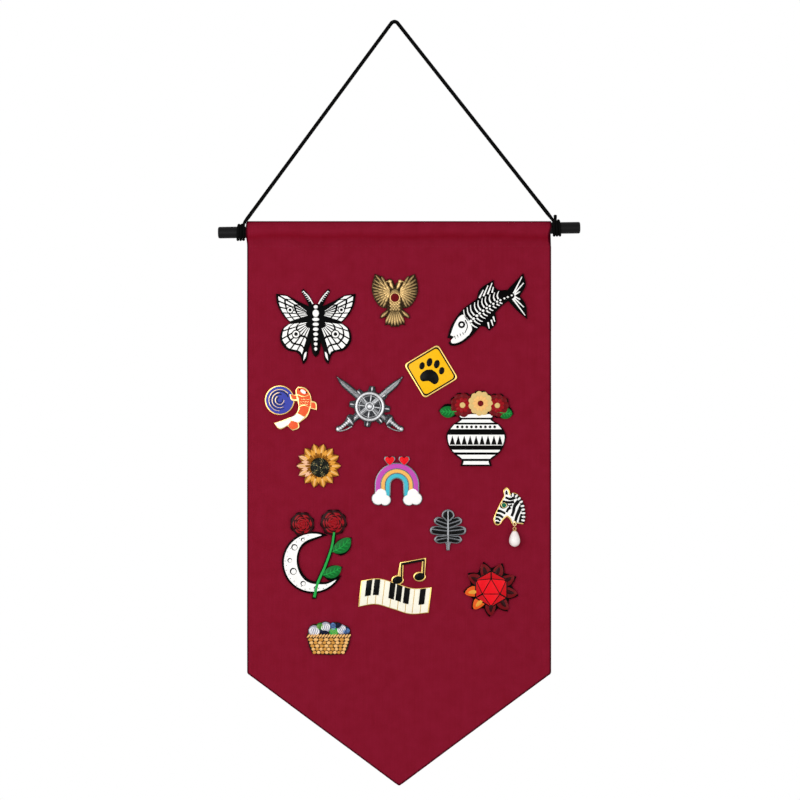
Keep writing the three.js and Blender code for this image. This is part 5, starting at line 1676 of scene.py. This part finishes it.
moon = Badge("moon", "black_nickel")
crescent = ellipse(*MOON, 20, None, 72, 324)
inner = smooth([crescent[-1], (5.2, -21), (-7.8, -18.4), (-13.8, -6), (-10, 6.8), crescent[0]])
moon.fill("white", crescent + inner[1:-1])
for x, z, size in CRATERS:
    moon.fill("black", ellipse(x, z, size), 0.36, 0.06)
    moon.fill("white", ellipse(x + 0.25, z - 0.25, size * 0.74), 0.42, 0.08)
for i in range(22):
    turn = 100 + 9.6 * i
    moon.dome("black", *polar(MOON, 19.2 - 0.9 * (i % 2), turn), 0.32, rise=0.14, base=0.28, steps=8)
moon.fill("green", stroke(STEM, 1.9, 1.5), 0.5, 0.3)
veined_leaf(moon, (10.9, 1.4), (23.4, 10.8), 9, -1)
veined_leaf(moon, (4.4, -14.6), (17, -9.3), 8.2, -0.7)
for x, z, radius in ROSES:
    for ring, (count, reach, width) in enumerate(ROSE_RINGS):
        for i in range(count):
            turn = 360 * i / count + ROSE_TURN * ring
            root = polar((x, z), -0.1 * radius, turn)
            for colour, share, lift in (("wine", 1, 0), ("rose", 0.9, 0.12)):
                tip = polar((x, z), radius * reach * share, turn)
                wide = radius * width * share ** 2
                moon.petal(colour, root, tip, wide, 0.5, 0.3 * ring + lift, bend=0.06 * radius, fat=0.68)
    moon.dome("rose", x, z, radius * 0.13, rise=0.4, base=1.4, steps=12)
moon.finish()

# %% [markdown]
# A strip of piano keys waves under a pair of notes. The keys are cells between the strip's lower and upper
# edge, with gold lines between them, and the black keys lie on top.

# %% Keyboard
LOWER_EDGE = [(-25.5, -14.6), (-13.5, -12.8), (-1.5, -16), (10.5, -19.5), (23.4, -18.6)]
UPPER_EDGE = [(-23.4, 3.6), (-11.4, 5.2), (0.6, 2), (12.6, -1.6), (25.5, -0.8)]
WHITE_KEYS = 9
BLACK_AFTER = (1, 2, 4, 5, 6, 8)
STRIP_MARGIN, KEY_GAP, BLACK_HALF, BLACK_FOOT = 0.015, 0.005, 0.04, 0.36  # shares of the strip
KEY_STEPS = 5

keyboard = Badge("keyboard", "bright_gold")
lower_edge, upper_edge = smooth(LOWER_EDGE), smooth(UPPER_EDGE)


def on_strip(across, up):
    """A point on the strip: across from left to right, and up from the lower edge, both as shares."""
    low, high = (edge[round(across * (len(edge) - 1))] for edge in (lower_edge, upper_edge))
    return low.lerp(high, up)


def key(left, right, low, high):
    """The outline of a key."""
    steps = [left + (right - left) * i / KEY_STEPS for i in range(KEY_STEPS + 1)]
    return [on_strip(step, low) for step in steps] + [on_strip(step, high) for step in steps[::-1]]


key_width = (1 - 2 * STRIP_MARGIN) / WHITE_KEYS
for i in range(WHITE_KEYS):
    left = STRIP_MARGIN + key_width * i
    keyboard.fill("ivory", key(left + KEY_GAP, left + key_width - KEY_GAP, 0.03, 0.97))
    if i in BLACK_AFTER:
        keyboard.fill("black", key(left - BLACK_HALF, left + BLACK_HALF, BLACK_FOOT, 0.97), 0.6, 0.2)
for x, z in ((1.8, 4), (17, 6.4)):
    keyboard.fill("black", turned(ellipse(0, 0, 3.6, 2.6), 12, x, z), 0.34)
keyboard.fill("black", stroke([(4.6, 4.8), (4.7, 15.6)], 1.1), 0.34)
keyboard.fill("black", stroke([(19.8, 7.4), (20.2, 17.8)], 1.1), 0.34)
keyboard.fill("black", outline((4.3, 15.8), [(20.6, 18.8)], [(20.3, 17.2)], [(4.5, 14.2)]), 0.36)
keyboard.finish()

# %% [markdown]
# A twenty-sided die sits in a ring of flames. Ten of its faces show, round one upright triangle, and each is
# a cell of its own red.

# %% Die
DIE_RADIUS, FACE_RADIUS = 12.2, 7
FLAMES = 9
LIT_FLAMES = (5, 6)

dice = Badge("dice", "black_nickel")
for i in range(FLAMES):
    turn = 90 - 360 * (i + 0.52) / FLAMES
    outer, inner = ("flame", "amber") if i in LIT_FLAMES else ("crimson", "wine")
    for colour, start, lean, end, width, base, bend in (
        (outer, 7, 9, 18.4, 7.2, 0, -0.9), (inner, 9, 5, 16.2, 3.2, 0.25, -0.4),
    ):
        root, tip = polar((0, 0), start, turn + lean), polar((0, 0), end, turn)
        dice.petal(colour, root, tip, width, 0.4, base, bend, fat=0.45)
dice.fill("black", [polar((0, 0), DIE_RADIUS + 0.7, 90 + 60 * i) for i in range(6)], 0.45)
face = [polar((0, 0), FACE_RADIUS, 90 + 120 * i) for i in range(3)]
edge = [polar((0, 0), DIE_RADIUS, 90 + 60 * i) for i in range(6)]
facets = [("red", face)]
for i in range(3):
    facets.append(("red", [face[i], face[(i + 1) % 3], edge[2 * i + 1]]))
    facets.append(("scarlet", [face[i], edge[2 * i], edge[2 * i + 1]]))
    facets.append(("scarlet", [face[i], edge[2 * i], edge[2 * i - 1]]))
for colour, corners in facets:
    middle = sum(corners, Vector((0, 0))) / 3
    inset = [corner + (middle - corner).normalized() * 0.55 for corner in corners]
    dice.fill(colour, inset, 0.7 if corners is face else 0.6, 0.2)
dice.finish()

# %% [markdown]
# The basket is woven: short bulging strands in rows, each row shifted by half a strand. Balls of yarn lie in
# it, every one a dome with strands wound over it.

# %% Basket
BALLS = (  # the shade between the strands, the strands, and the place and size
    ("slate", "white", -10, 4.8, 4), ("leaf", "lime", -6, 8, 2.6), ("slate", "white", -2.2, 7.4, 3.7),
    ("black", "navy", -3.2, 3.8, 3), ("navy", "sky", 3, 8, 2.8), ("green", "lime", 3.6, 4.4, 3.2),
    ("black", "navy", 6.9, 8.4, 2.3), ("slate", "white", 8.8, 5.8, 3.5), ("navy", "sky", 12, 5, 2.7),
)
STRANDS = 5
BOWL = (
    (-14.7, 1), [(-13.1, -6.3), (-10.8, -10.7)], [(0, -11.3), (10.8, -10.7)], [(13.1, -6.3), (14.7, 1)],
    [(-14.7, 1)],
)
ROWS, ROW_STEP, ROW_GAP = 5, 2.2, 0.05

basket = Badge("basket", "antique_gold")
for dark, light, x, z, radius in BALLS:
    basket.dome(dark, x, z, radius, rise=0.75)
    lean = 35 + 50 * x
    for i in range(STRANDS):
        shift = (i - (STRANDS - 1) / 2) / STRANDS
        root, tip = (polar((x, z), radius * 0.95 * math.cos(shift), lean + way) for way in (0, 180))
        basket.petal(light, root, tip, 1.9 * radius / STRANDS, 0.75, 0.1, bend=2 * shift * radius * 0.92)
basket.fill("brown", outline(*BOWL), 0.2)
for row in range(ROWS):
    z = -9.9 + ROW_STEP * row
    half = 11.2 + 0.78 * row
    count = 8 + row % 2
    for i in range(count):
        colour = "tan" if (i + row) % 2 else "sienna"
        left, right = (-half + 2 * half * end / count for end in (i, i + 1))
        root, tip = (left + ROW_GAP, z), (right - ROW_GAP, z)
        basket.petal(colour, root, tip, ROW_STEP, 0.7, 0.25, taper=0.4)
for i in range(15):
    x = -14 + 2 * i
    basket.petal("tan", (x - 1, 0.2), (x + 1.3, 2.7), 1.35, 0.7, 0.75)
basket.finish()

# %% [markdown]
# The stones are cut glass: a table, a ring of facets and a girdle inside the bezel. Each facet is flat, so it
# catches the lamps on its own.

# %% Stones
STONES = {  # the node, its body, its slot, and the name, deep shade and full shade of its glass
    "bird_gem": ("bird_badge", "red_stone", "red_cut_glass", "#43040a", "#7a0610"),
    "zebra_gem": ("zebra_badge", "green_stone", "green_cut_glass", "#0c4a37", "#1d7d5e"),
}
CUT = (  # reach and lift as shares, corners, and turn in degrees
    (1, 0, 16, 0), (1, 0.45, 16, 0), (0.78, 0.75, 8, 0), (0.5, 1, 8, 22.5),
)
GLASS_CLOUD = 1.5 * MM

for node, (body, slot, name, deep, full) in STONES.items():
    glass = two_shades(
        name, srgb(deep), srgb(full), GLASS_CLOUD, Roughness=0.08, Specular_IOR_Level=0.08,
    )
    low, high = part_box(node)
    middle = (low + high) / 2
    radius = (high.x - low.x) / 2
    made = bmesh.new()
    for share, lift, count, turn in CUT:
        for i in range(count):
            spot = polar(middle.xz, radius * share, 360 * i / count + turn)
            made.verts.new((spot.x, high.y + (low.y - high.y) * lift, spot.y))
    bmesh.ops.convex_hull(made, input=made.verts[:])
    bmesh.ops.dissolve_limit(made, angle_limit=STRAIGHT, verts=made.verts, edges=made.edges)
    bmesh.ops.recalc_face_normals(made, faces=made.faces)
    piece(node.replace("gem", "stone"), made, [glass], body, node, slot=slot, sharp=5)
print("stones:", len(STONES))

# %% [markdown]
# The pearl is a pear-shaped drop with a small gold cap and eye, and hangs in a wire ring from the zebra's
# loop. Nacre shows a soft sheen over a warm white, so it gets a faint rose sheen at its edge.

# %% Ring and pearl
PEARL_LENGTH = 11.5  # mm
PEAR_TAPER = 0.5  # how much slimmer the pearl is at its top
PEAR_STEPS = 32
CAP = [(0, -0.9), (1.5, -0.8), (1.15, -0.1), (0.5, 0.5), (0, 0.6)]  # radius and height, in mm
CAP_FILLET, PEARL_FILLET = 0.12, 0.02

nacre = two_shades(
    "pearl_nacre", srgb("#dcd2d2"), srgb("#f3eeea"), 3 * MM, (1.5 * MM, 0.02 * MM),
    Roughness=0.3, Sheen_Weight=0.3, Sheen_Tint=srgb("#f0b8b4"),
)

low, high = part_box("drop_ring")
wire = (high.x - low.x) / 2
made = hoop((high.z - low.z) / 2 - wire, wire)
made.transform(Matrix.Translation((low + high) / 2) @ Matrix.Rotation(math.radians(90), 4, "Z"))
piece("drop_wire", made, [PLATING["antique_gold"]], "drop_ring", "drop_ring", slot="antique_gold")

low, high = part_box("pearl_drop")
belly = (high.x - low.x) / 2 / MM
pear = []
for i in range(PEAR_STEPS + 1):
    angle = math.pi * i / PEAR_STEPS
    radius = belly * math.sin(angle) * (1 - PEAR_TAPER * math.cos(angle / 2) ** 2)
    pear.append((radius, PEARL_LENGTH / 2 * math.cos(angle)))
widest = max(radius for radius, height in pear)
pear = [(radius * belly / widest, height) for radius, height in pear]
upright = Matrix.Rotation(math.radians(90), 4, "X")
axis = Vector(((low.x + high.x) / 2, (low.y + high.y) / 2, 0))
made = lathe(pear, (0, 0, 0), PEARL_FILLET)
made.transform(Matrix.Translation(axis + Vector((0, 0, low.z + PEARL_LENGTH / 2 * MM))) @ upright)
cap = lathe(CAP, (0, 0, 0), CAP_FILLET)
cap.transform(Matrix.Translation(axis + Vector((0, 0, low.z + PEARL_LENGTH * MM))) @ upright)
eye = hoop(LOOP_RADIUS * MM, LOOP_WIRE * MM)
bmesh.ops.translate(eye, vec=axis + Vector((0, 0, high.z - (LOOP_RADIUS + LOOP_WIRE) * MM)), verts=eye.verts)
for part in (cap, eye):
    for each in part.faces:
        each.material_index = 1
    merge(made, part)
piece("pear_pearl", made, [nacre, PLATING["antique_gold"]], "pearl_drop", "pearl_drop", slot="pearl")
print("pearl:", round(2 * belly, 2), "mm wide")
